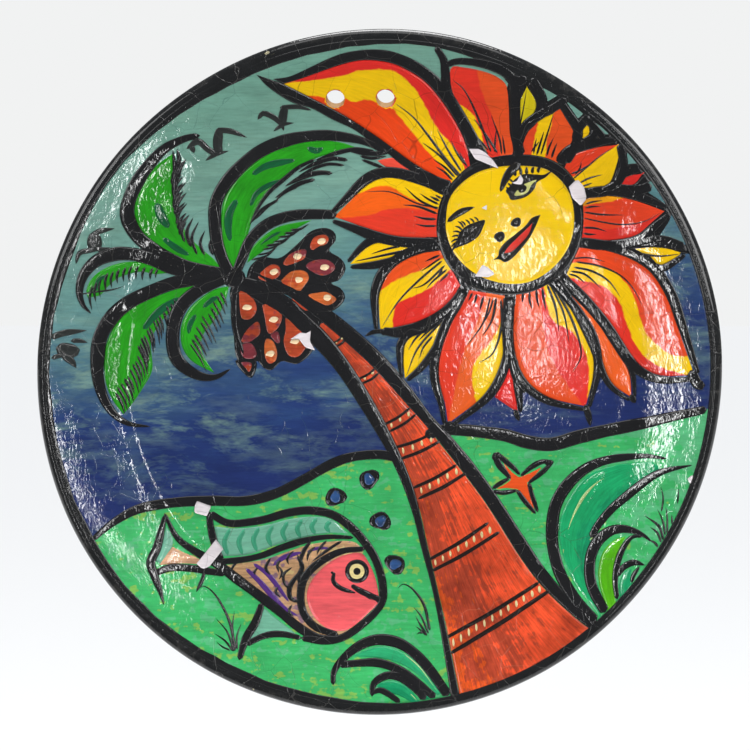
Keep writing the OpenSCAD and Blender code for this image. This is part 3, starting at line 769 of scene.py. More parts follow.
# %% Sky and sea
def sky_finish():
    """Colour by height in the plate, streaked along x."""
    material = paint("sky_and_sea_paint", ["#6fa192"], along="plate", streak=0.2, mottle=0.05, crack=0.3,
        crack_tint="#33525a")
    tree = material.node_tree
    here = tree.nodes["Texture Coordinate"].outputs["Object"]
    apart = add(tree, "SeparateXYZ", None, Vector=here).outputs
    broad = noise(tree, mapped(tree, here, scale=(14, 14, 60)), 1.0, 4.0, 0.6)
    drift = noise(tree, here, 16.0, 2.0)
    bend = maths(tree, "ADD", maths(tree, "MULTIPLY", maths(tree, "SUBTRACT", broad, 0.5), 0.036),
        maths(tree, "MULTIPLY", maths(tree, "SUBTRACT", drift, 0.5), 0.03))
    side = maths(tree, "MULTIPLY", maths(tree, "ADD", apart[0], 0.03), -0.25)
    level = maths(tree, "ADD", maths(tree, "ADD", apart[2], bend), side)
    share = add(tree, "MapRange", None, Value=level, i1=-0.045, i2=0.095, i3=0.0, i4=1.0).outputs[0]
    stops = [(0.0, "#1d2c66"), (0.20, "#1d3069"), (0.28, "#243c74"), (0.35, "#37577d"), (0.41, "#4d7384"),
        (0.52, "#609092"), (0.62, "#72a096"), (0.78, "#78a696"), (1.0, "#74a794")]
    base = ramp(tree, share, [(place, colour(code)) for place, code in stops])
    near = add(tree, "MapRange", None, Value=maths(tree, "ABSOLUTE", maths(tree, "SUBTRACT", level, 0.004)),
        i1=0.008, i2=0.034, i3=1.0, i4=0.0).outputs[0]
    for turn, low, high, amount, code in ((0.25, 0.50, 0.64, 0.75, "#7d9f90"),
            (-0.3, 0.52, 0.66, 0.7, "#2f5080"), (0.6, 0.56, 0.70, 0.6, "#8fae96")):
        daub = noise(tree, mapped(tree, here, scale=(34, 34, 110), turn=(0, turn, 0)), 1.0, 5.0, 0.72, 0.4)
        cover = ramp(tree, daub, [(low, (0, 0, 0, 1)), (high, (1, 1, 1, 1))])
        share_of = maths(tree, "MULTIPLY", maths(tree, "MULTIPLY", cover, near), amount)
        base = tinted(tree, "MIX", share_of, base, colour(code))
    faint = ramp(tree, noise(tree, mapped(tree, here, scale=(40, 40, 150), turn=(0, 0.1, 0)), 1.0, 5.0, 0.7),
        [(0.48, (0, 0, 0, 1)), (0.68, (1, 1, 1, 1))])
    base = tinted(tree, "MIX", maths(tree, "MULTIPLY", faint, 0.16), base, colour("#9cc0a8"))
    tree.links.new(base, tree.nodes["Hue/Saturation/Value"].inputs["Color"])
    return material


SKY_GAPS = [[(37.8, 89.7), (41.8, 87.6), (40.3, 85.6)], [(46.3, 86), (54, 82.4), (50, 80)],
    [(56, 80.6), (57.8, 80.3), (61.5, 76.8), (59.7, 75.1)], [(64.9, 75.2), (69.1, 70.9), (64.5, 70)],
    [(74.2, 65.5), (77.8, 61.2), (73.3, 60.1)], [(77.7, 55.2), (81.6, 57.2), (86.3, 49.8), (82.4, 52.2)],
    [(87.9, 48), (91.8, 40.4), (93.2, 38), (82.5, 39.5), (86, 44.5)]]
sea = drilled(disc("sky_and_sea_film", DISC_R, 0.02, 0.16))
gap_mesh = joined("sky_gap_films", [patch(outline, top=0.25, step=0.8, smooth_line=False, tone=0.0)
    for outline in SKY_GAPS])
join_into(sea, gap_mesh)
finish_piece(sea, "sky_and_sea", sky_finish())

# %% [markdown]
# ## The meadows
# Two green fields below the shore. Each is a film between the shore line and an arc just inside the rim.

# %% Meadows
def rim_arc(start, stop, r=PICTURE_R, count=40):
    """Points on a circle of radius r, between two angles in degrees."""
    a = np.radians(np.linspace(start, stop, count))
    return [(r * math.cos(t), r * math.sin(t)) for t in a]


shore_left = [(-87, -52.5), (-84, -48.8), (-77.5, -43.8), (-71, -40.8), (-60, -39.2), (-50, -38.8),
    (-40, -38.7), (-31, -36.6), (-22, -32), (-14, -27.5), (-8, -25.4), (0, -24.7), (6, -25.6)]
shore_right = [(14, -19), (19, -17.3), (24, -17.2), (30, -17.6), (38, -18.8), (45, -20.8), (52, -21.4),
    (60, -19.2), (70, -17), (80, -14.8), (90, -12.3), (99, -10.4)]
FIELD_TOP = 0.19
meadow_paint = paint("meadow_green_paint", ["#86c25a", "#3fba69", "#58b97d"], along="plate", streak=0.2,
    mottle=0.16, turn=0.9, crack=0.45, crack_tint="#1f6b3d", edge=0.95)
pale_side = divide([(60, -110), (72, -60), (60, 0)][::-1], soft=28)


def meadow_tone(x, z):
    """Green everywhere, paler toward the right; the brush noise alone brings up the yellow green."""
    return 0.5 + 0.4 * pale_side(x, z)


left = joined("left_meadow_film", [leaf(shore_left, rim_arc(209.5, 290), top=FIELD_TOP, step=1.4,
    tone=meadow_tone)])
right = joined("right_meadow_film", [leaf(shore_right, rim_arc(290, 354.2), top=FIELD_TOP, step=1.4,
    tone=meadow_tone)])
finish_piece(left, "left_meadow", meadow_paint)
finish_piece(right, "right_meadow", meadow_paint)

# %% [markdown]
# ## The black rim
# A black band runs round the lip and wraps over the edge on to the back. Its inner edge wanders, so it is
# given as radii at even steps of angle. The outer edge is greyed, partly as rubbed wear and partly as a
# painted highlight where the edge catches the light, and a few chips show the clay.

# %% The rim band
band_inner = np.interp(np.arange(0, 360, 1.25), np.arange(0, 361, 10),
    [100, 99.8, 100, 99.8, 99, 98.6, 98.2, 97.5, 98.8, 98.2, 97.2, 96.7, 96.6, 98.0, 99.4, 99.0, 98.4, 98.8,
    98.8, 98.3, 98.6, 98.4, 99.0, 98.4, 98.0, 98.0, 98.0, 99.0, 100, 100.2, 100.2, 99.8, 100, 100.2, 100, 100,
    100])
band_inner = band_inner - 0.25 + 0.22 * np.interp(np.arange(288), np.arange(0, 288, 2),
    rng.uniform(-1, 1, 144))


def rim_band():
    """The band as a closed loop of rows swept round, where the inner radius differs from spoke to spoke."""
    share = np.linspace(0, 1, 7)[:, None]
    inner = np.minimum(band_inner, 99.2)[None, :] * (1 - share) + 99.55 * share
    ragged = np.radians(np.interp(np.arange(SPOKES), np.arange(0, SPOKES, 3), rng.uniform(-2.5, 2.5, 96)))
    turn = np.radians(np.linspace(0, 150, 22))[:, None] * (1 + ragged) - lean
    rows = [(inner, front_height(inner) + 0.30 * np.minimum(1, share * 6 + 0.35))]
    for size, sweep in ((half_t + 0.18, turn), (half_t - 0.10, turn[::-1])):
        rows.append((edge_middle[0] + size * np.sin(sweep), edge_middle[1] + size * np.cos(sweep)))
    rows.append((inner[::-1], front_height(inner[::-1]) - 0.08))
    r, height = (np.concatenate([row[k] for row in rows]) for k in range(2))
    fade = np.concatenate([np.ones(7), np.linspace(1, 0.15, 22), np.linspace(0.15, 1, 22), np.ones(7)])[:,
        None]
    points = turned(r, height, fade)
    quads = grid_quads(len(r) + 1, SPOKES, round_shape=True) % r.size
    return new_object("black_rim_band", points, facing_out(points, quads))


band = rim_band()


def rim_finish():
    """Black paint, greyed where the edge sticks out furthest, partly as rubbed wear and partly as a painted
    highlight of the lit edge, and rubbed through there to the clay in a few chips.
    """
    material = paint("black_rim_paint", ["#1b1c1d"], along="plate", streak=0.25, mottle=0.2,
        crack_tint="#5a5855", crack=0.5)
    tree = material.node_tree
    here = tree.nodes["Texture Coordinate"].outputs["Object"]
    apart = add(tree, "SeparateXYZ", None, Vector=here).outputs
    r = maths(tree, "SQRT", maths(tree, "ADD", maths(tree, "MULTIPLY", apart[0], apart[0]),
        maths(tree, "MULTIPLY", apart[2], apart[2])))
    # The outer edge is mixed toward grey: partly rubbed wear, partly a painted highlight of the lit edge.
    outer_edge = add(tree, "MapRange", None, Value=r, i1=0.0995, i2=0.1015, i3=0.0, i4=1.0).outputs[0]
    rubbed_and_highlit = ramp(tree, noise(tree, here, 330.0, 5.0, 0.75), [(0.5, (0, 0, 0, 1)),
        (0.68, (0.6, 0.6, 0.6, 1))])
    chipped = ramp(tree, noise(tree, here, 120.0, 3.0, 0.6), [(0.715, (0, 0, 0, 1)), (0.73, (1, 1, 1, 1))])
    shader = tree.nodes["Principled BSDF"]
    before = shader.inputs["Base Color"].links[0].from_socket
    grey_wear_and_highlight = tinted(tree, "MIX", maths(tree, "MULTIPLY", outer_edge, rubbed_and_highlit), before, colour("#4d4b48"))
    bare = tinted(tree, "MIX", maths(tree, "MULTIPLY", outer_edge, chipped), grey_wear_and_highlight, colour("#d8cfa6"))
    tree.links.new(bare, shader.inputs["Base Color"])
    return material


finish_piece(band, "rim_band", rim_finish())
black = paint("black_line_paint", ["#19191b"], streak=0.3, mottle=0.2, crack_tint="#5c5a54", crack=0.35,
    fleck="#5a5650")

# %% [markdown]
# ## The palm
# The trunk is a curved wedge between two edges; each frond is a crescent. The painter then went round
# everything in black, heavy on the outer side of each frond, and flicked short strokes along the inner side
# for its leaflets.

# %% Trunk
trunk_left = [(-26, 22), (-23, 19), (-14, 10), (-4.5, -3.5), (3.5, -18), (10.5, -34.5), (15.5, -55),
    (21, -79), (25.6, -99.5)]
trunk_right = [(-26, 22.3), (-21, 18.5), (-12.5, 11.5), (-1.5, 1.5), (9, -10), (16, -18), (31.5, -38),
    (48, -62.5), (68, -80)]
trunk_left_outer = [(-38, 27), (-30, 18.5), (-27, 15.5), (-18, 6.5), (-12, -0.5), (-6, -9.5), (-1, -17.5),
    (3, -24.5), (7, -33), (10.5, -43), (13, -53), (16.2, -65), (19, -79), (21, -90), (22.3, -97.5)]
trunk_right_outer = [(-38, 30.5), (-28, 27), (-20, 22.3), (-12, 17), (-3, 9.5), (4, 2.5), (10, -4.8),
    (16, -12.8), (21, -18), (24, -21.5), (29, -27.5), (36, -37.3), (43, -48), (50, -58.5), (58, -67.5),
    (66.5, -74.5)]
mottled = divide([(-30, 30), (5, -20), (20, -55), (36, -88)], soft=13)
trunk = joined("trunk_film", [leaf(trunk_left, trunk_right, tone=mottled)])
trunk_paint = paint("trunk_red_paint", ["#ea5a20", "#b8452a", "#e5502a"], streak=0.45, mottle=0.4, edge=0.75,
    crack_tint="#e08a60", crack=0.25)
finish_piece(trunk, "trunk", trunk_paint)

ring_lines = [[(-14, 8.7), (-10.5, 11.5)], [(-13.2, 7.7), (-9.6, 10.4)], [(-6.2, -2), (-0.8, 1.4)],
    [(-5.2, -3.4), (0.3, 0)], [(1.5, -15.8), (9.8, -10.4)], [(3.2, -17.8), (11.5, -12.4)],
    [(5, -22.6), (16.6, -18.1)], [(6.6, -26), (18.6, -20.6)], [(10.4, -34.8), (23.7, -27.6)],
    [(12, -38), (26.7, -30)], [(15.3, -56.3), (33.2, -45)], [(16.2, -59.7), (36.5, -47.8)],
    [(20.6, -79.5), (48.4, -62.8)], [(21.8, -84), (51.6, -65)]]
band_strokes, dots = [], []
for k, ends in enumerate(ring_lines):
    (ax, az), (bx, bz) = ends
    wide = 0.7 + 0.045 * k
    sag = ((ax + bx) / 2 + 0.3, (az + bz) / 2 - 0.35)
    band_strokes.append(stroke([ends[0], sag, ends[1]], wide, start=0.8, end=0.8, top=0.45, tone=0.0))
for k in range(0, len(ring_lines), 2):
    upper, lower = np.array(ring_lines[k], float), np.array(ring_lines[k + 1], float)
    span = np.hypot(*(upper[1] - upper[0]))
    count = max(2, int(span / 2.6))
    for t in (np.arange(count) + 0.6) / (count + 0.2):
        top_end = upper[0] + t * (upper[1] - upper[0])
        low_end = lower[0] + t * (lower[1] - lower[0])
        middle = (top_end + low_end) / 2 + rng.uniform(-0.15, 0.15, 2)
        tall = np.hypot(*(top_end - low_end)) * 0.27
        dots.append(stroke([middle + (-0.1, tall), middle + (0.1, -tall)], 0.62 + 0.25 * t, start=0.6,
            end=0.5, top=0.42, tone=1.0, step=0.4))
bands = joined("trunk_ring_strokes", band_strokes + dots)
finish_piece(bands, "trunk_bands", paint("trunk_ring_paint", ["#201612", "#e9d79a"],
    streak=0.2, mottle=0.15, edge=0.02))

# %% [markdown]
# ## Fronds
# A frond is one crescent of green between two edges, with a few dark dashes where the painter pressed a
# second green into it. Two splines and a straight grid between them give the crescent, so the dashes can
# follow its bend.

# %% Fronds
LEAF_SHAPES = {
    "frond_top_left": ([(-46.5, 30.2), (-52, 31), (-58, 32.7), (-63, 35.3), (-68.5, 39.5), (-72, 43.5),
        (-73, 48.5), (-72, 54), (-69.5, 58.5), (-65.5, 62.5), (-61, 65.8)],
        [(-46.5, 30.2), (-49.5, 34), (-54, 37.8), (-57.5, 41.5), (-60, 46.5), (-61.3, 51.5), (-61.5, 57),
        (-60.8, 62), (-61, 65.8)]),
    "frond_top": ([(-43, 30.3), (-45.6, 35), (-47.4, 41), (-47.4, 47), (-46.3, 52.5), (-43, 58), (-38, 62.5),
        (-32, 66.4), (-25, 68.8), (-17, 69.6), (-11, 69), (-6, 67.3)], [(-43, 30.3), (-41, 35.5),
        (-39.3, 41.5), (-37, 48), (-33.3, 54), (-28.5, 58.2), (-23.5, 61.8), (-18, 64.6), (-12, 66.3),
        (-6, 67.3)]),
    "frond_right": ([(-39.5, 33), (-38, 37.5), (-33.5, 41.8), (-28.5, 44.3), (-20, 45.8)],
        [(-39.5, 33), (-34, 37), (-28.5, 41), (-20, 45.8)]),
    "frond_left": ([(-60, 30.5), (-64.5, 31.8), (-70, 33.1), (-76, 33.2), (-81.5, 31.5), (-85.5, 28.5),
        (-87.3, 25), (-87, 22.5)], [(-60, 30.5), (-67, 29.6), (-72, 30.3), (-78, 28.5), (-81.5, 25.5),
        (-83.5, 23.2), (-87, 22.5)]),
    "frond_low_left": ([(-46.5, 29), (-53, 28.7), (-60, 26.6), (-67, 23.6), (-74, 20.1), (-78.5, 15.7),
        (-81.7, 9.2), (-82.6, 3), (-82, -3.5), (-80, -8.5), (-77, -12.7)],
        [(-46.5, 29), (-50, 27), (-56, 24.5), (-60, 21), (-63.5, 17.5), (-66.5, 14), (-68.7, 9), (-68.3, 1),
        (-71, -4.5), (-74, -9), (-77, -12.7)]),
    "frond_hook": ([(-45, 26), (-50, 24.7), (-56, 20.3), (-59, 15.5), (-59.7, 10.5), (-58.6, 6.3),
        (-55.5, 2.8), (-49.5, -0.2)], [(-45, 26), (-46, 22), (-47.5, 18.6), (-50, 15), (-52.6, 11.8),
        (-53.5, 8.5), (-52.5, 4.5), (-49.5, -0.2)]),
}
DARK_DASHES = {
    "frond_top_left": [([(-66.5, 51), (-65, 46.5), (-63, 43.5)], 3), ([(-65, 40.5), (-61, 37.5), (-57, 35.3)],
        2)],
    "frond_top": [([(-42.5, 52), (-44.8, 48), (-45.2, 43.5), (-44.6, 39.5)], 2.6),
        ([(-38, 59.5), (-33, 62.3), (-25, 63.8)], 2.2), ([(-38.5, 50), (-36.5, 54), (-31.5, 57), (-28, 57.5)],
        1.6), ([(-21.5, 67.5), (-18.5, 66.6), (-16.5, 67.6)], 1.8)],
    "frond_right": [([(-36, 38), (-32, 41), (-28, 43)], 0.9)],
    "frond_left": [([(-84.5, 24.5), (-84, 27.5), (-81, 29.5)], 1.2)],
    "frond_low_left": [([(-71, 13), (-66, 18.5), (-60, 22.5)], 2.4), ([(-68, 23), (-60, 26), (-53, 27.6)],
        1.3)],
    "frond_hook": [([(-55, 17.5), (-56.8, 14.5), (-57.3, 11.5)], 1.7),
        ([(-53, 19.5), (-50, 22), (-48, 22.8)], 1.6)],
}
leaf_paint = paint("leaf_green_paint", ["#259b17", "#0d5b33"], streak=0.3, mottle=0.16, edge=0.2,
    crack_tint="#0c4a12", crack=0.3)
for node, (one, other) in LEAF_SHAPES.items():
    films = [leaf(one, other, tone=0.0)]
    films += [stroke(line, wide, start=0.6, end=0.4, top=0.32, tone=1.0) for line, wide in DARK_DASHES[node]]
    finish_piece(joined(node + "_film", films), node, leaf_paint)


# %% [markdown]
# ## Leaflets
# A comb of short strokes: each starts near the frond's inner edge and is flicked outward. The comb is one
# function, so that every frond's leaflets differ only by their direction, length and seed.

# %% Combs of leaflets
def comb(line, count, ahead, reach, wide=0.8, bow=0.5, back=0.25):
    """Short tapering strokes along a line. ahead is the (x, z) direction at each end; bow bends the
    stroke."""
    spots = curve(line, count)
    first, last = np.array(ahead[0], float), np.array(ahead[1], float)
    flicks = []
    for k, spot in enumerate(spots):
        t = k / max(count - 1, 1)
        way = first * (1 - t) + last * t
        way = way / np.hypot(*way)
        size = np.interp(t, [0, 0.5, 1], reach) * rng.uniform(0.8, 1.2)
        start = spot - way * size * back + rng.uniform(-0.25, 0.25, 2)
        middle = start + way * size * 0.5 + np.array([-way[1], way[0]]) * bow * size * 0.2
        flicks.append(stroke([start, middle, start + way * size], wide * rng.uniform(0.8, 1.2), start=0.8,
            end=0.15, top=0.44, steady=0.03, belly=0.35))
    return flicks


leaflets = []
leaflets += comb([(-60.8, 59.5), (-61, 54), (-60.4, 48.5), (-59.4, 43)], 12, ((0.55, 0.8), (0.45, 0.9)),
    (6, 7, 7), 1.05)
leaflets += comb([(-58.2, 41), (-56.2, 39.8), (-54.4, 38.2), (-52.7, 37), (-50, 37)], 5, ((0.1, 1), (0, 1)),
    (6.5, 8.5, 7), 1.05, bow=0.9)
leaflets += [stroke([(-61.2, 66.5), (-60.8, 60), (-61.3, 54), (-60.6, 49)], 1.5, top=0.43),
    stroke([(-60, 67), (-59.5, 64), (-60.5, 60)], 1.3), stroke([(-57.5, 64), (-59.3, 61), (-60.3, 57)], 1.1)]
leaflets += [stroke(points, wide, start=0.7, end=0.2) for points, wide in (([(-1, 66.3), (-7, 67),
    (-13, 65.8), (-19, 63.7)], 1.4), ([(-9.2, 63.8), (-14, 64.2), (-19, 62.7), (-24, 60.2)], 1.4),
    ([(-10.2, 62.2), (-15, 62.6), (-20, 61), (-24.5, 58.7)], 1.0), ([(-13.8, 59.8), (-18, 60), (-23, 58.6),
    (-28, 56)], 1.6), ([(-19, 58), (-23, 57), (-27, 55), (-31, 52.5)], 1.4),
    ([(-24, 56), (-28, 54.2), (-31, 51.6)], 0.9), ([(-30, 52), (-33.5, 49.8), (-37, 46)], 1.0),
    ([(-32, 51), (-35.5, 48.5), (-38.6, 44.8)], 1.2), ([(-19, 64), (-24, 61.6), (-28.5, 58), (-33, 54),
    (-36.5, 49), (-38.8, 44.2)], 1.3), ([(-9.5, 67.2), (-5, 66), (0, 65.7), (5, 66.3)], 1.5),
    ([(-5.5, 65), (-2, 64.3), (2.5, 64.9)], 1.0), ([(-5, 63.9), (-1.5, 62.6), (3, 60.8)], 1.0))]
leaflets += comb([(-37.5, 34.5), (-33.5, 38), (-30, 40.6), (-26, 43)], 8, ((0.9, 0.5), (0.95, 0.3)),
    (8, 8.5, 6), 0.65, bow=-0.6, back=0.1)
leaflets += comb([(-66.5, 30.6), (-72, 31), (-78, 30.2), (-82.5, 27.5), (-85.5, 24.2)], 12,
    ((-0.25, -1), (-0.05, -1)), (3.2, 5, 6.5), 0.75, bow=-0.5)
leaflets += [stroke([(-90, 23.3), (-85, 24.2), (-80, 24.9), (-76.5, 26)], 0.6)]
leaflets += comb([(-61.5, 20), (-65, 15.5), (-68.3, 11), (-71, 5.5), (-72.5, 0), (-76, -5.5), (-78, -9)], 22,
    ((0.2, -1), (0.42, -1)), (5.5, 8.5, 6.5), 0.85, bow=0.3, back=0.45)
leaflets += comb([(-47.2, 23), (-49.2, 18.5), (-52, 14.2), (-54.5, 10), (-55.3, 6)], 11,
    ((0.45, -1), (0.6, -1)), (6, 8, 8.5), 0.7, bow=0.2, back=0.3)
print("leaflet strokes:", len(leaflets))

# %% [markdown]
# ## The palm's black lines
# Long strokes sweep round the fronds, heavy at the root or in the middle. Beside the trunk the black is wide
# enough to be a film between two edges, and behind the nuts it is one blot, which shows between them as their
# outline.

# %% Palm outlines
FROND_LINES = [([(-53.2, 71), (-58, 69.9), (-63.5, 67), (-68.3, 62.2), (-72.3, 56.3), (-74.9, 50),
    (-74.8, 45.5), (-72.3, 41), (-68.8, 37.8), (-64, 34.6), (-58, 31.8), (-50, 30.1), (-44, 29.5)], 3.5, 0.4,
    0.9), ([(2.6, 65.7), (-2, 68.5), (-8, 70.4), (-16, 71.2), (-24, 70.6), (-31, 68.6), (-37.3, 65.3),
    (-42.8, 60.5), (-46.8, 55.5), (-49, 50.5), (-49.2, 45), (-48.5, 39), (-46.7, 33.5), (-44.5, 29.5)], 3.3,
    0.4, 0.9), ([(-12.5, 47.5), (-21, 47.6), (-28, 46.7), (-34, 44.2), (-38.7, 39.5), (-41.3, 34),
    (-43, 29.5)], 2.9, 0.8, 0.8), ([(-86.2, 17.8), (-88.3, 20.3), (-89.3, 24.4), (-88, 29.3), (-84.3, 33.4),
    (-79, 35.5), (-73.5, 35.5), (-68, 34), (-62, 31.6), (-54, 30), (-46, 29.2)], 3.5, 0.15, 0.9),
    ([(-46, 29), (-54, 28.4), (-62, 26.9), (-69, 24.2), (-75.5, 21), (-80.3, 16.6), (-83.6, 10.5), (-84.5, 4),
    (-84.1, -2.5), (-82.3, -8.5), (-79.3, -13), (-75, -15.6), (-69, -16.4)], 3.6, 0.9, 0.1),
    ([(-45, 28.6), (-50, 26.6), (-55.5, 23.8), (-59.8, 19.5), (-61.7, 14), (-62, 8.5), (-60.8, 4),
    (-57.5, 0.8), (-53, -1.3), (-48.8, -1.3), (-44.6, 1)], 3.6, 0.7, 0.1)]
palm_black = strokes(FROND_LINES, 0.40, 0.01, swell=1.18)
palm_black += [leaf(trunk_left_outer, [(-36, 28)] + trunk_left, top=0.38),
    leaf(trunk_right_outer, [(-36, 29)] + trunk_right, top=0.37), oval((-43.5, 28.5), 7, 6, top=0.40),
    stroke([(-43, 27), (-36, 24.5), (-30, 20.5), (-25, 17.5)], 5.5, start=0.8, end=0.5, top=0.36),
    stroke([(-42.5, 27.5), (-43.5, 20), (-43, 12), (-40, 4.5)], 1.8, start=0.9, end=0.4, top=0.37)]
NUTS = [([(-20.5, 38.2), (-19.2, 40.7), (-16.2, 41.4), (-14.9, 40.2), (-15.7, 38.6), (-17.7, 38),
    (-19.9, 36.8)], 0.3), ([(-28.6, 33), (-26.7, 35.5), (-23.7, 36.9), (-21.7, 36.8), (-22.2, 34.4),
    (-24.2, 33.3), (-27.6, 32.2)], 0.7), ([(-21.8, 32), (-19.7, 33.6), (-16.2, 34), (-13.8, 33), (-13, 31.3),
    (-14.8, 29.6), (-17.2, 29.2), (-19.7, 30.2)], 0.9), ([(-36.2, 28.6), (-34.1, 31.3), (-31.9, 32.5),
    (-29.9, 31.9), (-29.5, 29.8), (-30.9, 28.2), (-32.6, 27.2)], 0.6),
    ([(-30, 26.2), (-27.1, 29.8), (-24.2, 30.8), (-21.7, 30.2), (-20.9, 28.3), (-22.2, 26.2), (-24.2, 24.1),
    (-26.7, 25.3)], 0.2), ([(-21.1, 23.2), (-18.2, 24), (-15.7, 24.2), (-13.8, 23.2), (-12.6, 21.9),
    (-14.8, 20.3), (-17.2, 20.8)], 0.1), ([(-41.8, 26), (-39, 23.9), (-37, 20.9), (-36.8, 18.4),
    (-38.5, 16.2), (-41, 16.2), (-41.7, 18.9), (-41.9, 22.4)], 0.5), ([(-34.9, 21.4), (-32.1, 20.4),
    (-29.5, 18.4), (-29.1, 15.9), (-30.6, 13), (-33.1, 11.8), (-34.1, 15.9)], 0.6),
    ([(-36.2, 15.2), (-35.6, 12), (-37.6, 9.9), (-39.5, 9), (-41.3, 9.4), (-40.2, 12), (-38.2, 14.2)], 0.7),
    ([(-41.2, 8.4), (-38.4, 8.8), (-36.7, 6), (-37.5, 4.3), (-40.3, 4.3), (-41.6, 6.4)], 1.0),
    ([(-33.6, 10.2), (-31.6, 9.2), (-30.5, 6), (-31.1, 3.4), (-33.1, 2.8), (-34.2, 5), (-34.3, 8.5)], 0.1),
    ([(-32.5, 11.4), (-30.3, 12.3), (-29.6, 9.4), (-30.5, 8.8), (-31.6, 9.9)], 1.0),
    ([(-27.7, 16.8), (-24.2, 13.6), (-21.6, 11), (-21.6, 8), (-24.2, 4.8), (-27.1, 5.3), (-28.5, 9),
    (-27.9, 13)], 0.4), ([(-41.4, 3), (-38.3, 2.8), (-38.9, 0.1), (-40, 1.4)], 0.7)]
NUT_GROUND = [([(-39, 31.3), (-35.1, 34.6), (-29.6, 34.5), (-24.2, 38.8), (-20.4, 42.4), (-16.2, 43.5),
    (-13.3, 42.3), (-12.8, 39.7), (-14.8, 36.7), (-11.3, 34.3), (-9.8, 31.3), (-11.6, 27.9), (-14.3, 26.8),
    (-11.3, 25.3), (-10, 22.4), (-12.3, 19.4), (-16.2, 17.9), (-20.2, 19.9), (-25.2, 22.4), (-31.6, 24.5),
    (-39, 26.3)], (-23, 30)), ([(-44.2, 26), (-43.7, 16), (-43.2, 6), (-41.2, 2.9), (-36.6, 3.4),
    (-34.6, 1.3), (-32.1, 0.7), (-29.3, 3.3), (-27.1, 3), (-24.2, 2.6), (-20.7, 5.3), (-19.4, 8), (-20.2, 12),
    (-16, 16), (-24, 20), (-34, 27)], (-31, 12)), ([(-43.2, 3.5), (-36.8, 3.5), (-38.5, -1.8)], (-39.6, 2))]
palm_black += [patch(outline, centre, top=0.25) for outline, centre in NUT_GROUND]
palm = joined("palm_black_lines", palm_black + leaflets)
finish_piece(palm, "palm_outline", black)

# %% [markdown]
# ## Coconuts
# Each nut is a blot of brown with its own outline, since no two are alike, and most carry a dab of cream for
# the light. The tone gives each nut one of three browns.

# %% Coconuts
nut_films = [patch(outline, top=0.34, step=0.6, tone=tone) for outline, tone in NUTS]
nuts = joined("coconut_films", nut_films)
finish_piece(nuts, "coconuts", paint("coconut_paint", ["#c9642f", "#b04426", "#7d3038"],
    along="plate", turn=0.8, streak=0.45, mottle=0.35, edge=0.5, crack_tint="#e8b090"))
light_dabs = []
for outline, tone in NUTS[:8] + NUTS[10:11] + NUTS[12:13]:
    middle = np.mean(outline, axis=0)
    away = middle - np.array(outline[0])
    away /= np.hypot(*away)
    light_dabs.append(patch(middle + 0.9 * away + np.array([(-1.5, -0.3), (-0.9, 0.8), (0.6, 0.9), (1.4, 0.2),
        (0.5, -0.8), (-0.6, -0.9)]) * rng.uniform(0.75, 1.15, (6, 2)), top=0.42, step=0.4, tone=0.0))
lights = joined("coconut_light_dabs", light_dabs)
finish_piece(lights, "coconut_lights", paint("cream_dab_paint", ["#f6d9ae"], streak=0.3,
    mottle=0.15))

# %% [markdown]
# ## The sun
# Eleven large petals and eight small ones stand round a yellow disc. A petal lies between two edges; the
# painter laid red, orange and yellow side by side while wet, so each petal has dividing lines, with tones on
# their two sides.

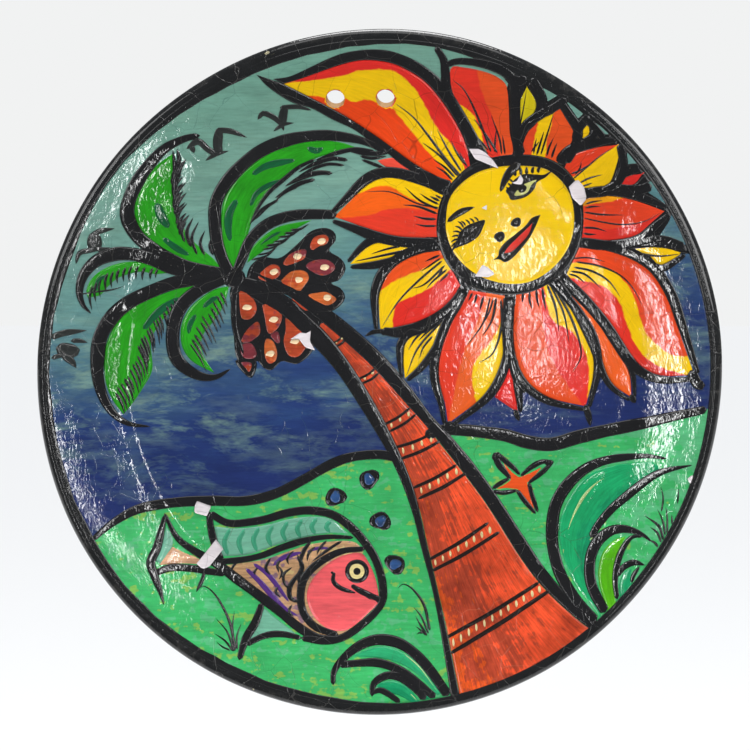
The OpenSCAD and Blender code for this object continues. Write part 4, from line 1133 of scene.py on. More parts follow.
# %% Petals
RED, YELLOW = "#e92c25", "#ffce00"
SUN_MIDDLE = (39.5, 44.5)
PETALS = {
    "petal_top_left": ([(28, 61.5), (27, 66), (25, 71.5), (22, 77), (18.5, 82), (14.5, 86.5), (10, 89.6),
        (5, 91.9), (0, 92.9), (-5, 93), (-10, 92), (-16, 90.1), (-22, 88), (-28, 86.2)],
        [(22, 56), (16, 59.5), (10, 63.2), (5, 66.6), (0, 70.5), (-5, 73.8), (-10, 77), (-15, 79.7),
        (-20, 82.2), (-28, 86.2)], "petal_orange", [RED, YELLOW, "#f4480f"],
        [[(26.5, 59), (24.5, 64), (22, 68.5), (19, 71.8), (16.5, 75), (14.5, 79), (12, 83.3), (8.5, 87.5),
        (4, 90), (-3, 90.3), (-8, 89.3), (-13, 87.9), (-20, 87.1), (-30, 86.3)],
        [(22.7, 56), (19.5, 61.5), (15.5, 65.5), (12.5, 69.5), (9, 73.5), (6.5, 76.8), (3.5, 80), (-1, 81),
        (-4, 82), (-7, 80.8), (-10, 82.2), (-14.5, 81.5), (-17, 82.4), (-20.5, 82.8), (-26, 83)]]),
    "petal_upper_right": ([(55.5, 61.5), (57, 64.5), (61, 66.3), (66, 67.3), (71.8, 68)],
        [(60, 54.8), (65, 55), (69, 56), (71, 61), (72, 65), (71.8, 68)], "petal_yellow", [YELLOW, "#f0401f"],
        [[(58.5, 58.5), (62.5, 61.3), (66, 64), (71.5, 67.8)]]),
    "petal_right": ([(60.8, 51.6), (64, 52.8), (69, 53), (74, 52.2), (80, 50.3), (85.8, 48.2)],
        [(60.8, 40), (66, 39.3), (72, 39.5), (77, 40.7), (81, 44), (85.8, 48.2)], "petal_red",
        ["#ea3325", "#ee4420", "#fba70c"], [[(61, 44), (70, 43), (86, 47.5)],
        [(60, 49.5), (64.5, 50.6), (69, 51), (73, 52), (78, 54)]]),
    "petal_sweep": ([(60.3, 37.8), (67, 37), (73, 35.4), (79, 32.3), (83, 28.3), (86.5, 22), (89, 14.5),
        (91.2, 8), (94, -0.3)], [(56.3, 29.2), (60, 25), (64.5, 20.5), (69, 15), (73, 9), (76.5, 4),
        (80.5, 0.7), (86, -0.8), (94, -0.3)], "petal_orange", ["#ea3323", YELLOW, "#f04a1c"],
        [[(57, 28.8), (61, 27.6), (65, 26.8), (69.5, 24.4), (72.5, 20), (74.5, 14.5), (76.5, 9.5), (79.5, 5),
        (84, 2), (92, -0.5)], [(58.5, 33), (65, 32.3), (70, 30.5), (74, 27), (77, 22), (78.2, 17), (80, 12),
        (83, 8.5), (87, 5.7), (95, 4.8)]]),
    "petal_slim": ([(53.8, 28.6), (59, 24), (64, 18.5), (69, 12), (73, 5), (75.3, -0.8), (75.8, -7.3)],
        [(53.8, 28.6), (58, 22.6), (62.3, 15), (65.8, 7.5), (68, 0.5), (71, -4), (75.8, -7.3)],
        "petal_orange", ["#f4601a"], []),
    "petal_low_right": ([(50.3, 27.5), (54.5, 23.2), (59, 17.8), (62.8, 11.7), (64.6, 5), (64.4, -1),
        (62.2, -10)], [(41, 23), (40.5, 17), (40.3, 11), (41, 5), (43, -0.5), (47, -5), (53, -8),
        (62.2, -10)], "petal_red", ["#f0521f", "#ea3026", YELLOW], [[(48, 26), (49.5, 16), (50.5, 8), (53, 2),
        (57, -4), (61.5, -10)], [(49.6, 27), (50.8, 18.5), (53, 15), (57, 13.2), (60, 10), (62, 6), (63.2, 0),
        (62.8, -9)]]),
    "petal_bottom": ([(38.3, 23), (37.7, 18), (37.4, 12), (37.7, 6.5), (36.5, 1), (34, -4), (30, -8.5),
        (21, -15.3)], [(27, 24.8), (25, 20.5), (22, 15.5), (19.5, 9.5), (18, 3.5), (18.3, -3), (20, -9),
        (21, -15.3)], "petal_red", ["#ec3d22", "#f2611e", YELLOW], [[(33, 25), (29, 14), (25, 4), (22.5, -8),
        (21, -15)], [(38.2, 21), (36.3, 14), (33, 8.5), (29, 3), (28.2, -2), (29.5, -9)]]),
    "petal_low_left": ([(18.8, 37), (13, 36), (7, 33.5), (2.5, 29.5), (0.3, 24), (0.2, 19), (0.6, 13)],
        [(24.8, 25.8), (22, 22), (18.5, 18.5), (13, 15.5), (7, 14), (0.6, 13)], "petal_yellow",
        ["#f2541b", YELLOW, "#ea2f23"], [[(20, 34.5), (12, 30.5), (7, 28.5), (3, 26), (-1, 24)],
        [(20.5, 30), (15, 25), (10, 22.8), (6.5, 21.3), (4.6, 18), (4.4, 12)]]),
    "petal_left": ([(20, 53.3), (15, 55.6), (9, 57.8), (4, 58.8), (0, 58.3), (-4, 56), (-8.5, 51.5),
        (-13.3, 46.8)], [(17.8, 40.3), (11, 40.3), (5, 40.8), (-1, 42.3), (-7, 44.6), (-13.3, 46.8)],
        "petal_orange", [YELLOW, "#fb6410", "#ef3d25"], [[(19.5, 48.5), (13, 50.8), (8, 53.3), (5, 55.2),
        (0, 56), (-4, 54.5), (-8, 53)], [(18.5, 47.5), (10, 49.2), (3, 49), (-4, 47), (-13, 46.3)]]),
}
BLOOMS = {
    "petal_top": ([(33, 64.3), (30.8, 68.5), (27.5, 74), (24, 79.5), (22.2, 84), (21.9, 90.6), (26, 90.7),
        (31, 89.7), (35.3, 88.1), (38.4, 85.3), (39.2, 80), (39.5, 72), (40.3, 64.8)], (32, 79), "petal_red",
        ["#f05420", "#ea3524", YELLOW], [[(36.5, 64), (35.5, 72), (33.5, 78), (31, 84), (29, 92)],
        [(33, 63), (31.3, 70), (29.8, 74.5), (27.8, 77.7), (25.3, 79.6), (20, 81.2)]]),
    "petal_top_right": ([(43.2, 65), (43.3, 69), (45.5, 73.2), (49, 75.8), (52.3, 77.3), (54.6, 78.9),
        (56.3, 75.7), (58.6, 71.3), (57.3, 67.5), (54, 62.2), (49, 64)], (51, 69), "petal_orange",
        ["#f0551e", YELLOW, "#ee4a1f"], [[(49.5, 62), (50.7, 70), (52.8, 79)],
        [(45.5, 63), (46.8, 70), (48.5, 78)]]),
}
SMALL_PETALS = [([(42, 72), (41.6, 79), (44.4, 85.7)], [(42, 72), (46, 76), (47.5, 80), (44.4, 85.7)],
    "#dcc80c"), ([(60.3, 69), (60.6, 72), (62.8, 74.4)], [(60.3, 69), (63, 70.5), (63.2, 72.5), (62.8, 74.4)],
    YELLOW), ([(70.7, 56), (74, 58.6), (79.4, 59.6)], [(70.7, 56), (76, 55.6), (79.4, 59.6)], RED),
    ([(73, 37), (83, 37.7), (91, 36)], [(73, 37), (80, 35), (84, 32), (91, 36)], YELLOW),
    ([(39.8, 4.3), (37.6, -1.5), (35, -7.3)], [(39.8, 4.3), (41, -4), (41.9, -12)], RED),
    ([(20.8, 17.3), (14, 13), (8.5, 9.8), (7.4, 5.5), (8, -1.8)], [(20.8, 17.3), (17.5, 9.5), (13, 3),
    (8, -1.8)], YELLOW), ([(11, 37.6), (5, 39), (0, 39.3), (-4, 37.3), (-8.5, 32.6)],
    [(11, 37.6), (5.5, 35), (-1, 33.2), (-8.5, 32.6)], YELLOW), ([(-0.3, 63.6), (2.5, 64.2), (5.5, 64),
    (11.8, 58.8)], [(-0.3, 63.6), (3, 61.4), (11.8, 58.8)], "#f2503c"),]
for node, (one, other, slot, tones, lines) in PETALS.items():
    piece = joined(node + "_film", [leaf(one, other, tone=divide(*lines) if lines else 0.0)])
    if node == "petal_top_left":
        piece = drilled(piece)
    finish_piece(piece, node, paint(node + "_paint", tones, streak=0.14, mottle=0.07,
        crack_tint="#5a2408", crack=0.5))
for node, (outline, centre, slot, tones, lines) in BLOOMS.items():
    piece = joined(node + "_film", [patch(outline, centre, tone=divide(*lines))])
    finish_piece(piece, node, paint(node + "_paint", tones, along="plate", turn=1.4, streak=0.12,
        mottle=0.07, crack_tint="#5a2408", crack=0.5))
small_tones = {YELLOW: 0.0, "#dcc80c": 1 / 3, "#f2503c": 2 / 3, RED: 1.0}
small = joined("small_petal_films", [leaf(one, other, tone=small_tones[code]) for one, other,
    code in SMALL_PETALS])
finish_piece(small, "small_petals", paint("small_petal_paint", list(small_tones), streak=0.12,
    mottle=0.08, edge=0.02, crack_tint="#5a2408", crack=0.5))

# %% [markdown]
# ## The sun's disc
# The disc is a little flat on some sides, as a circle drawn by hand is. The black ring round it is the same
# kind of outline, a few millimetres wider, and lies lower, so the disc covers its middle.

# %% Sun disc
DISC_EDGE = [(20.3, 42), (20.2, 46), (21, 51.5), (24, 56), (29.5, 60), (36.5, 61.8), (44, 62), (50, 61),
    (54.5, 57.8), (57.6, 53), (58.8, 47), (58, 40), (55.2, 34.5), (50.5, 29.8), (44.5, 26.9), (37.5, 26.7),
    (30.5, 28.8), (25.3, 32.6), (22, 37)]
RING_EDGE = [(17.6, 41.5), (17.7, 47), (18.9, 52), (21.8, 56.7), (27.5, 62), (35, 64.6), (43, 65.3),
    (50.5, 64.1), (56.3, 60.6), (60.2, 54.6), (61.4, 47.5), (60.8, 40), (57.8, 33), (52.3, 27.5), (45.3, 24),
    (37.5, 23.4), (30, 24.9), (24, 28.6), (19.6, 34.4)]
sun_disc = joined("sun_disc_film", [patch(DISC_EDGE, SUN_MIDDLE, top=0.46, tone=0.0)])
finish_piece(sun_disc, "sun_disc", paint("sun_yellow_paint", ["#ffd000"], along="plate",
    streak=0.06, mottle=0.05, crack_tint="#7a5a08", crack=0.75))

# %% [markdown]
# ## Black round the petals
# The outlines are strokes of uneven width on both sides of each petal. The largest petal's outline is heavy
# enough to be a shape of its own. Fine veins then fan out from the disc over the colour.

# %% Sun outlines and veins
wide_ring = SUN_MIDDLE + 1.2 * (np.array(RING_EDGE) - SUN_MIDDLE)
sun_black = [patch(RING_EDGE, SUN_MIDDLE, top=0.39), patch(wide_ring, SUN_MIDDLE, top=0.215),
    leaf(rim_arc(66, 21, 99.2), rim_arc(63, 29, 70), top=0.21, step=1.3)]
sun_black += [leaf([(27.2, 66)] + PETALS["petal_top_left"][0][2:], [(31.5, 67), (28, 74), (24.5, 80),
    (21.5, 84.5), (18.2, 88), (13.5, 91.6), (8.5, 94.2), (3, 96), (-3, 96.3), (-9, 95.5), (-14, 93.8),
    (-20, 91), (-26, 88.4), (-31, 87.6)], top=0.41), leaf([(-36, 89), (-32, 87.5), (-28, 86.2), (-20, 82.2),
    (-10, 77), (0, 70.5), (10, 63.2), (16, 59.5), (22, 56)], [(-36, 89), (-32.5, 85.2), (-26, 81),
    (-20, 79.2), (-13.5, 75.8), (-7.5, 73), (-2.5, 69.5), (2.5, 66), (7, 62.3), (12, 59.2), (17, 56),
    (21, 53.5)], top=0.40)]
for k, (node, width) in enumerate((("petal_upper_right", 3.2), ("petal_right", 3.0), ("petal_sweep", 3.2),
        ("petal_slim", 2.6), ("petal_low_right", 2.8), ("petal_bottom", 2.9), ("petal_low_left", 3.1),
        ("petal_left", 3.3))):
    sun_black += outlined(PETALS[node][0], PETALS[node][1], width, start=0.9, end=0.35, top=0.40 + 0.006 * k)
for k, (one, other, code) in enumerate(SMALL_PETALS[:-1]):
    sun_black += outlined(one, other, 2.5, start=0.8, end=0.4, top=0.385 + 0.004 * k)
sun_black += strokes((([(32, 64), (29.3, 68.5), (26, 74), (22.7, 79.3), (20.6, 84), (20.3, 89), (19.8, 93),
    (17.5, 97)], 3.3, 0.9, 0.5), ([(20.5, 91.5), (24, 92.5), (29, 92.2), (34, 91), (38.5, 88.8), (40.8, 85),
    (41, 79), (41.2, 72), (42, 64)], 2.9, 0.6, 0.9), ([(38, 88.5), (42, 86.5), (44.5, 88.5), (46.5, 90.3)],
    3.0, 0.9, 0.9), ([(43, 65), (42, 69), (44, 73.5), (48.5, 76.8), (53, 79), (56, 81.5)], 2.7, 0.9, 0.9),
    ([(54, 81), (56.5, 77), (59.5, 72), (58.7, 67.5), (56, 62.5)], 2.8, 0.8, 0.9),
    ([(50, 78), (49, 82), (47, 86), (45, 89)], 2.6, 0.7, 0.9), ([(55, 80), (57, 83), (58.5, 84.5)], 2.4, 0.9,
    0.9), ([(60, 67), (59, 70), (61, 74.5), (64.5, 77)], 2.6, 0.8, 0.9),
    ([(62, 75.5), (64.5, 72), (63, 68.5)], 2.4, 0.8, 0.8), ([(72, 68), (73, 62), (71, 56.5), (66, 53.5)], 2.9,
    0.8, 0.8), ([(70, 55), (77, 54.3), (83, 56.5), (85.5, 58.5)], 3.2, 0.8, 0.9),
    ([(72, 60), (76, 60.8), (78, 61)], 3.0, 0.7, 0.8), ([(62, 38.8), (70, 37.6), (76, 38.4), (84, 39.8),
    (92, 37.5)], 2.4, 0.9, 0.8), ([(93, 1), (95, -3), (97.5, -3.5)], 3.4, 0.9, 0.6),
    ([(62, -9.5), (63, -12.5), (63.6, -16)], 2.0, 1.0, 0.1), ([(75.5, -6.5), (77, -9)], 2.0, 1.0, 0.2),
    ([(21.5, -14.5), (21, -18)], 3.6, 1.0, 0.9), ([(41, -11), (42.3, -14.5)], 1.6, 1.0, 0.3),
    ([(39, 4), (38.8, 12), (38.8, 23)], 3.2, 0.9, 0.9), ([(39.5, 5), (41.5, -2), (44, -6)], 2.2, 0.9, 0.6),
    ([(18, 38.8), (10, 38.9), (2, 40.5)], 3.0, 0.9, 0.6), ([(1, 12.5), (7, 12), (14, 13.8), (20, 18)], 3.4,
    0.6, 0.9), ([(-4, 11), (-1, 12.3), (2, 12.4)], 1.4, 0.2, 1.0), ([(22, 56), (17, 57.5), (12, 60.5)], 3.0,
    0.9, 0.6), ([(64, 78), (67, 74), (70, 71)], 2.4, 0.9, 0.9)), 0.43)
VEINS = [([(24.6, 59), (20, 64.3), (15, 71), (10.5, 76.5), (5.2, 80.6)], .8),
    ([(24.9, 60.3), (21, 66.5), (17.6, 73)], .7), ([(24, 58.8), (19, 64.5), (13.2, 69)], .8),
    ([(23, 58.5), (20, 61.5), (16.4, 64)], .7), ([(22.4, 57.6), (20, 60), (17.2, 61.8)], .7),
    ([(25.8, 62.5), (23.2, 66.5), (21.8, 69.6)], .7), ([(26.8, 61.5), (25.3, 64), (24.3, 66.3)], .6),
    ([(33.8, 66), (30, 76), (26, 84), (22.3, 87.3)], .7), ([(37, 65.3), (36.3, 70), (33.8, 77)], .6),
    ([(35.8, 65.6), (32, 71.5), (28.6, 76)], .7), ([(38, 65.3), (37.6, 68), (37.2, 71)], .6),
    ([(33, 66.5), (31, 69), (29, 71)], .6), ([(34.8, 66), (35, 69), (35.4, 73)], .6),
    ([(47.4, 65), (48.8, 69.5), (49.6, 72)], .7), ([(48.6, 65), (50.5, 71), (52.3, 76.8)], .6),
    ([(45.8, 66), (48.2, 69)], .6), ([(50.4, 64.6), (51, 67), (52.4, 70)], .7),
    ([(51.8, 64), (52.6, 66.5), (53.5, 68.5)], .7), ([(53.2, 63.4), (54, 65), (55.3, 66.8)], .6),
    ([(46.5, 65.3), (46.8, 67.5), (47.4, 70)], .6), ([(58.2, 57.8), (62, 61), (66, 64.3), (70.3, 67)], .5),
    ([(60.2, 56.6), (63, 58), (67, 59)], .6), ([(61, 55.6), (64, 56.6)], .6),
    ([(57.4, 59.3), (60, 60.2), (63, 62)], .6), ([(58.8, 59), (60.3, 61), (60.6, 63)], .6),
    ([(61.4, 46.3), (67, 45), (73, 44.2), (79, 45), (84, 47.5)], .5), ([(61.8, 50.3), (64, 51), (67, 51.4)],
    .6), ([(61.5, 48), (67, 47.2), (73.5, 47)], .6), ([(61.3, 43.4), (65, 43.2), (68.3, 42.2)], .7),
    ([(61.3, 41.8), (63, 41.4), (65.3, 41.4)], .7), ([(61.8, 49.2), (64, 49.6), (66.5, 49.6)], .6),
    ([(59.2, 33.2), (66, 32), (72, 29.4), (76, 25.5), (78.8, 20.4)], .6),
    ([(58.5, 31.6), (64, 30.4), (69, 27.4), (72.6, 22.5)], .7), ([(57.6, 30.4), (62, 29.4), (66.7, 25.3)],
    .7), ([(57, 29.6), (59.5, 28.8), (62, 26.8)], .6), ([(58, 34.2), (63, 34.4), (68, 33.2)], .5),
    ([(50.6, 26.4), (53, 20), (54.2, 12.3)], .8), ([(51.6, 26.4), (55.5, 18), (57.3, 8.7)], .7),
    ([(52.6, 26), (58, 16), (60.8, 6), (58.2, 0)], .8), ([(49.2, 25.4), (49.6, 22), (50.3, 18.5)], .8),
    ([(47.4, 25), (47.6, 22), (48.3, 19.5)], .8), ([(45.4, 24.4), (45.4, 21.5), (46.2, 19)], .8),
    ([(43.4, 24), (43.2, 21)], .8), ([(36.8, 22), (37, 14), (34.5, 6), (30, 2.8)], .8),
    ([(35.4, 22.6), (34.2, 16), (31.3, 11)], .8), ([(33.6, 22.6), (31.5, 15), (26.5, 8)], .6),
    ([(31.6, 23), (30.4, 18.5)], .8), ([(29.6, 23.6), (28.8, 20.6)], .8), ([(28.3, 24), (27, 21.4)], .7),
    ([(34.6, 22.4), (33, 17.5), (30.5, 13.5)], .6), ([(19.2, 33.6), (12, 27.5), (6, 21.3), (1.2, 13.8)], .7),
    ([(20, 32.2), (14, 26.6), (10, 25.2)], .7), ([(20.6, 31), (16.5, 27.5), (14.3, 25)], .7),
    ([(19.3, 31), (17.5, 28.3)], .7), ([(21.3, 30), (18.2, 27)], .7), ([(18.5, 35.3), (14, 33.3)], .7),
    ([(18.8, 34.4), (15, 31.8), (12.8, 30.4)], .6), ([(18.3, 49.4), (12, 50.6), (6, 53.4), (2, 54.4),
    (-4, 54.2)], .5), ([(18, 49), (12.5, 51.6), (8, 55.6)], .7), ([(18.2, 50.4), (15, 52), (12.4, 53.8)], .7),
    ([(18.5, 51.4), (15.4, 52.9)], .8), ([(19, 52.2), (17, 53.3)], .7),
    ([(17.8, 47.6), (12, 49.8), (7.3, 50.3)], .8), ([(17.5, 46), (14, 46.2), (10.5, 47)], .8),
    ([(17.5, 44), (14, 44), (11, 44.6)], .7), ([(9, 36.8), (2, 35.3), (-7, 33.4)], .8),
    ([(7, 38), (3, 37.2), (-2.2, 35.6)], .7), ([(19, 15.3), (12, 7.5), (8.4, -1)], .7),
    ([(17, 14), (14.5, 12), (12, 9.5)], .7), ([(13.5, 12.5), (11, 10), (9, 6.7)], .7),
    ([(16.3, 11), (13.5, 7.5), (12.3, 4)], .7), ([(75, 36.2), (83, 34.8), (89.5, 35.3)], .7),
    ([(42.3, 73), (43.5, 79), (44.3, 84)], .4)]
veins = [stroke(points, wide, start=0.9, end=0.2, top=0.40, steady=0.04, belly=0.3) for points, wide in VEINS]
sun_outline = drilled(joined("sun_black_lines", sun_black + veins))
finish_piece(sun_outline, "sun_outline", black)

# %% [markdown]
# ## The face
# The sun has a tilted folk-art face: one open eye with lashes under the brow, one eye closed in a wink, two
# nostrils and a smiling mouth. Each mark is a small patch or stroke on top of the yellow.

# %% Face
FACE_TOP = 0.60
MARK = {"top": FACE_TOP, "base": 0.48}
LASH = {"start": 0.9, "step": 0.4, **MARK}
face = [stroke([(36.6, 54.2), (37.8, 57.3), (39.6, 60.3), (42.5, 62.6)], 2.5, start=0.3, end=0.9, belly=0.7,
    **MARK), patch([(38.2, 54.5), (39.6, 56), (40.8, 57.8), (43.5, 59.4), (47, 59.3), (49.5, 59.2),
    (51.9, 60.3), (50.2, 58.5), (47.6, 57), (46.7, 54.9), (44.5, 52.8), (41.5, 51.8), (39.7, 51.8),
    (39.1, 53)], (43.3, 55.8), top=FACE_TOP, step=0.5), stroke([(20.8, 45.2), (23.5, 47.4), (26, 48.7),
    (28.9, 49.6)], 1.9, start=0.55, end=0.15, **MARK), patch([(32, 45.7), (29.5, 45.2), (26.5, 44),
    (24.4, 42), (23.6, 40), (22.4, 37.2), (24.5, 37.8), (27.5, 39), (30, 40.8), (31.2, 43)], (27.5, 41.8),
    top=FACE_TOP, step=0.5), patch([(39.7, 44.3), (40.2, 45.7), (41.8, 46.5), (42.7, 45.8), (42.5, 44.2),
    (41.2, 43.6)], top=FACE_TOP, step=0.4), patch([(34.7, 40.5), (35.4, 41.8), (37, 42.3), (37.9, 41.4),
    (37.6, 39.9), (36.2, 39.1)], top=FACE_TOP, step=0.4), leaf([(34.2, 33.6), (35.9, 34.9), (36.3, 36.8),
    (38, 39), (41, 41.4), (44, 43.9), (46, 46.3), (48.6, 47.3)], [(34.2, 33.6), (36.2, 34), (38, 33.1),
    (40.2, 34.3), (43, 37.3), (45.4, 40.5), (47, 43.5), (48.6, 47.3)], top=FACE_TOP, step=0.6)]
for k in range(5):
    x = 41.0 + 1.75 * k
    face.append(stroke([(x, 58.8 + 0.25 * k), (x - 0.1, 60.2 + 0.15 * k), (x - 0.7 + 0.35 * k, 61.6)], 0.95,
        end=0.3, **LASH))
for k in range(3):
    face.append(stroke([(39.4 + 0.5 * k, 54.6 + 1.2 * k), (38.3 + 0.5 * k, 55.6 + 1.2 * k)], 0.6, end=0.3,
        **LASH))
for k in range(7):
    a = math.radians(118 + 17 * k)
    root = np.array([25.6 - 0.32 * k, 43.4 - 0.85 * k])
    face.append(stroke([root, root + 1.4 * np.array([math.cos(a), math.sin(a)]),
        root + 2.7 * np.array([math.cos(a + 0.25), math.sin(a + 0.25)])], 0.6, end=0.2, **LASH))
for k in range(4):
    root = np.array([26.2 + 1.3 * k, 44 + 0.4 * k])
    face.append(stroke([root, root + (-0.5, 0.9), root + (-1.5, 1.5)], 0.55, end=0.2, **LASH))
eye_white = patch([(40.7, 52.9), (41.3, 54.3), (43, 56.1), (45, 57), (47.7, 57.9), (46, 56.2), (45, 54.2),
    (43.2, 53.1)], (43.5, 55), top=0.66, step=0.4, tone=1.0)
pupil = oval((43.2, 55), 3.3, 2.5, 38, top=0.72, step=0.35, tone=0.0)
wink_light = stroke([(26.4, 40.3), (27.6, 40.8), (28.7, 42)], 1.0, start=0.5, end=0.3, top=0.66, tone=1.0,
    step=0.4)
face_piece = joined("sun_face_marks", [(p, q, u, np.zeros_like(t)) for p, q, u, t in face]
    + [eye_white, pupil, wink_light])
finish_piece(face_piece, "sun_face", paint("face_black_paint", ["#1d1c1a", "#cfd080"],
    along="plate", edge=0.02, streak=0.2, mottle=0.15))
mouth = joined("sun_mouth_film", [leaf([(37.7, 35.8), (39.3, 38), (41.5, 40.2), (44, 42.6), (46.2, 44.8)],
    [(37.7, 35.8), (40, 36.3), (43, 39), (45.2, 41.8), (46.2, 44.8)], top=0.68, step=0.5, tone=0.0)])
finish_piece(mouth, "sun_mouth", paint("mouth_red_paint", ["#d8352a"], streak=0.15))

# %% [markdown]
# ## The fish
# A round coral head overlaps a tan body with purple stripes and black scales. Behind are a forked tail and a
# long teal fin along the back, whose darker bands follow its curve.

# %% Fish
head = joined("fish_head_film", [patch([(-21.4, -69), (-21.3, -65.5), (-19.6, -62), (-16, -58.2),
    (-11.3, -55.4), (-5.5, -54.3), (-3, -57), (-1, -61.5), (0, -66), (0, -69.3), (-2.5, -72), (-6, -75.3),
    (-10, -77.7), (-15, -77.2), (-19.3, -73.7)], (-11, -66.5), top=0.36, tone=0.0)])
finish_piece(head, "fish_head", paint("coral_paint", ["#fb6469"], along="plate", turn=1.3,
    streak=0.2, mottle=0.08, crack_tint="#a83b3b", crack=0.3))
body = joined("fish_body_film", [leaf([(-48.5, -58.3), (-41, -57.3), (-34, -56.2), (-27, -53.8), (-20, -51.6),
    (-12, -50.6), (-7, -51), (-4.5, -53.5)], [(-48.5, -58.3), (-43, -61.8), (-38, -65.8), (-33, -69.3),
    (-28, -73), (-23, -76.8), (-17, -79.6), (-9, -79)], top=0.24, tone=0.5)])
finish_piece(body, "fish_body", paint("fish_tan_paint", ["#e2c98a", "#c79c72", "#8a6a78"],
    along="plate", streak=0.5, mottle=0.3, edge=0.9))
FIN_TOP_EDGE = [(-49.5, -46.5), (-42, -47), (-34, -46), (-27, -44.2), (-20, -43.4), (-14, -44.3), (-9, -48.6)]
FIN_LOW_EDGE = [(-47.8, -55.6), (-40, -55.2), (-35, -53.7), (-28, -51.2), (-20, -49.2), (-14, -48.4),
    (-9, -48.6)]
fin_films = [leaf(FIN_TOP_EDGE, FIN_LOW_EDGE, tone=0.0), patch([(-35, -71), (-38, -76.5), (-39.6, -82),
    (-34, -79.5), (-29, -79.2), (-24.5, -79), (-28, -76), (-32, -73)], (-34, -77), tone=0.0),
    leaf([(-64, -46), (-65, -50.5), (-67, -56.5)], [(-64, -46), (-61.8, -51.5), (-65, -57.8)], tone=0.0),
    patch([(-23.8, -60), (-22.2, -60.5), (-21.9, -62.8), (-24.4, -64)], top=0.30, tone=0.0)]
for k in range(8):
    x = -46 + 4.4 * k
    top_z, low_z = (np.interp(x, *np.transpose(edge)) for edge in (FIN_TOP_EDGE, FIN_LOW_EDGE))
    fin_films.append(stroke([(x + 1.2, top_z - 0.4), (x - 0.5, (top_z + low_z) / 2), (x + 0.6, low_z + 0.3)],
        1.5, start=0.7, end=0.6, top=0.30, tone=1.0))
fins = joined("fish_fin_films", fin_films)
finish_piece(fins, "fish_fins", paint("fin_teal_paint", ["#74b79a", "#3f9f79"], streak=0.25,
    mottle=0.12, edge=0.2))
tail = joined("fish_tail_film", [leaf([(-62, -52.5), (-58.5, -54.3), (-54, -56.2), (-50.5, -58.4)],
    [(-65.8, -58), (-60, -57.6), (-55, -57.9), (-50.5, -58.4)], tone=0.5)])
finish_piece(tail, "fish_tail", paint("tail_peach_paint", ["#e6cda6", "#d9a884", "#9c7f8e"],
    along="plate", streak=0.5, mottle=0.3, edge=0.9))
stripes = joined("fish_purple_stripes", [stroke(points, wide, start=0.6, end=0.3, top=0.33, tone=0.0)
    for points, wide in (([(-40, -59.2), (-36, -63), (-32, -67.4), (-28, -71.3), (-24.3, -73.4)], 1.7),
    ([(-37.7, -57.7), (-33.5, -60.8), (-30, -65), (-27, -69.2)], 1.5),
    ([(-31.8, -58.3), (-28.5, -55.8), (-23, -54.2)], 1.6), ([(-21.5, -54), (-18, -53), (-14.5, -53)], 1.0))])
finish_piece(stripes, "fish_stripes", paint("purple_paint", ["#563082"], streak=0.3, mottle=0.15))
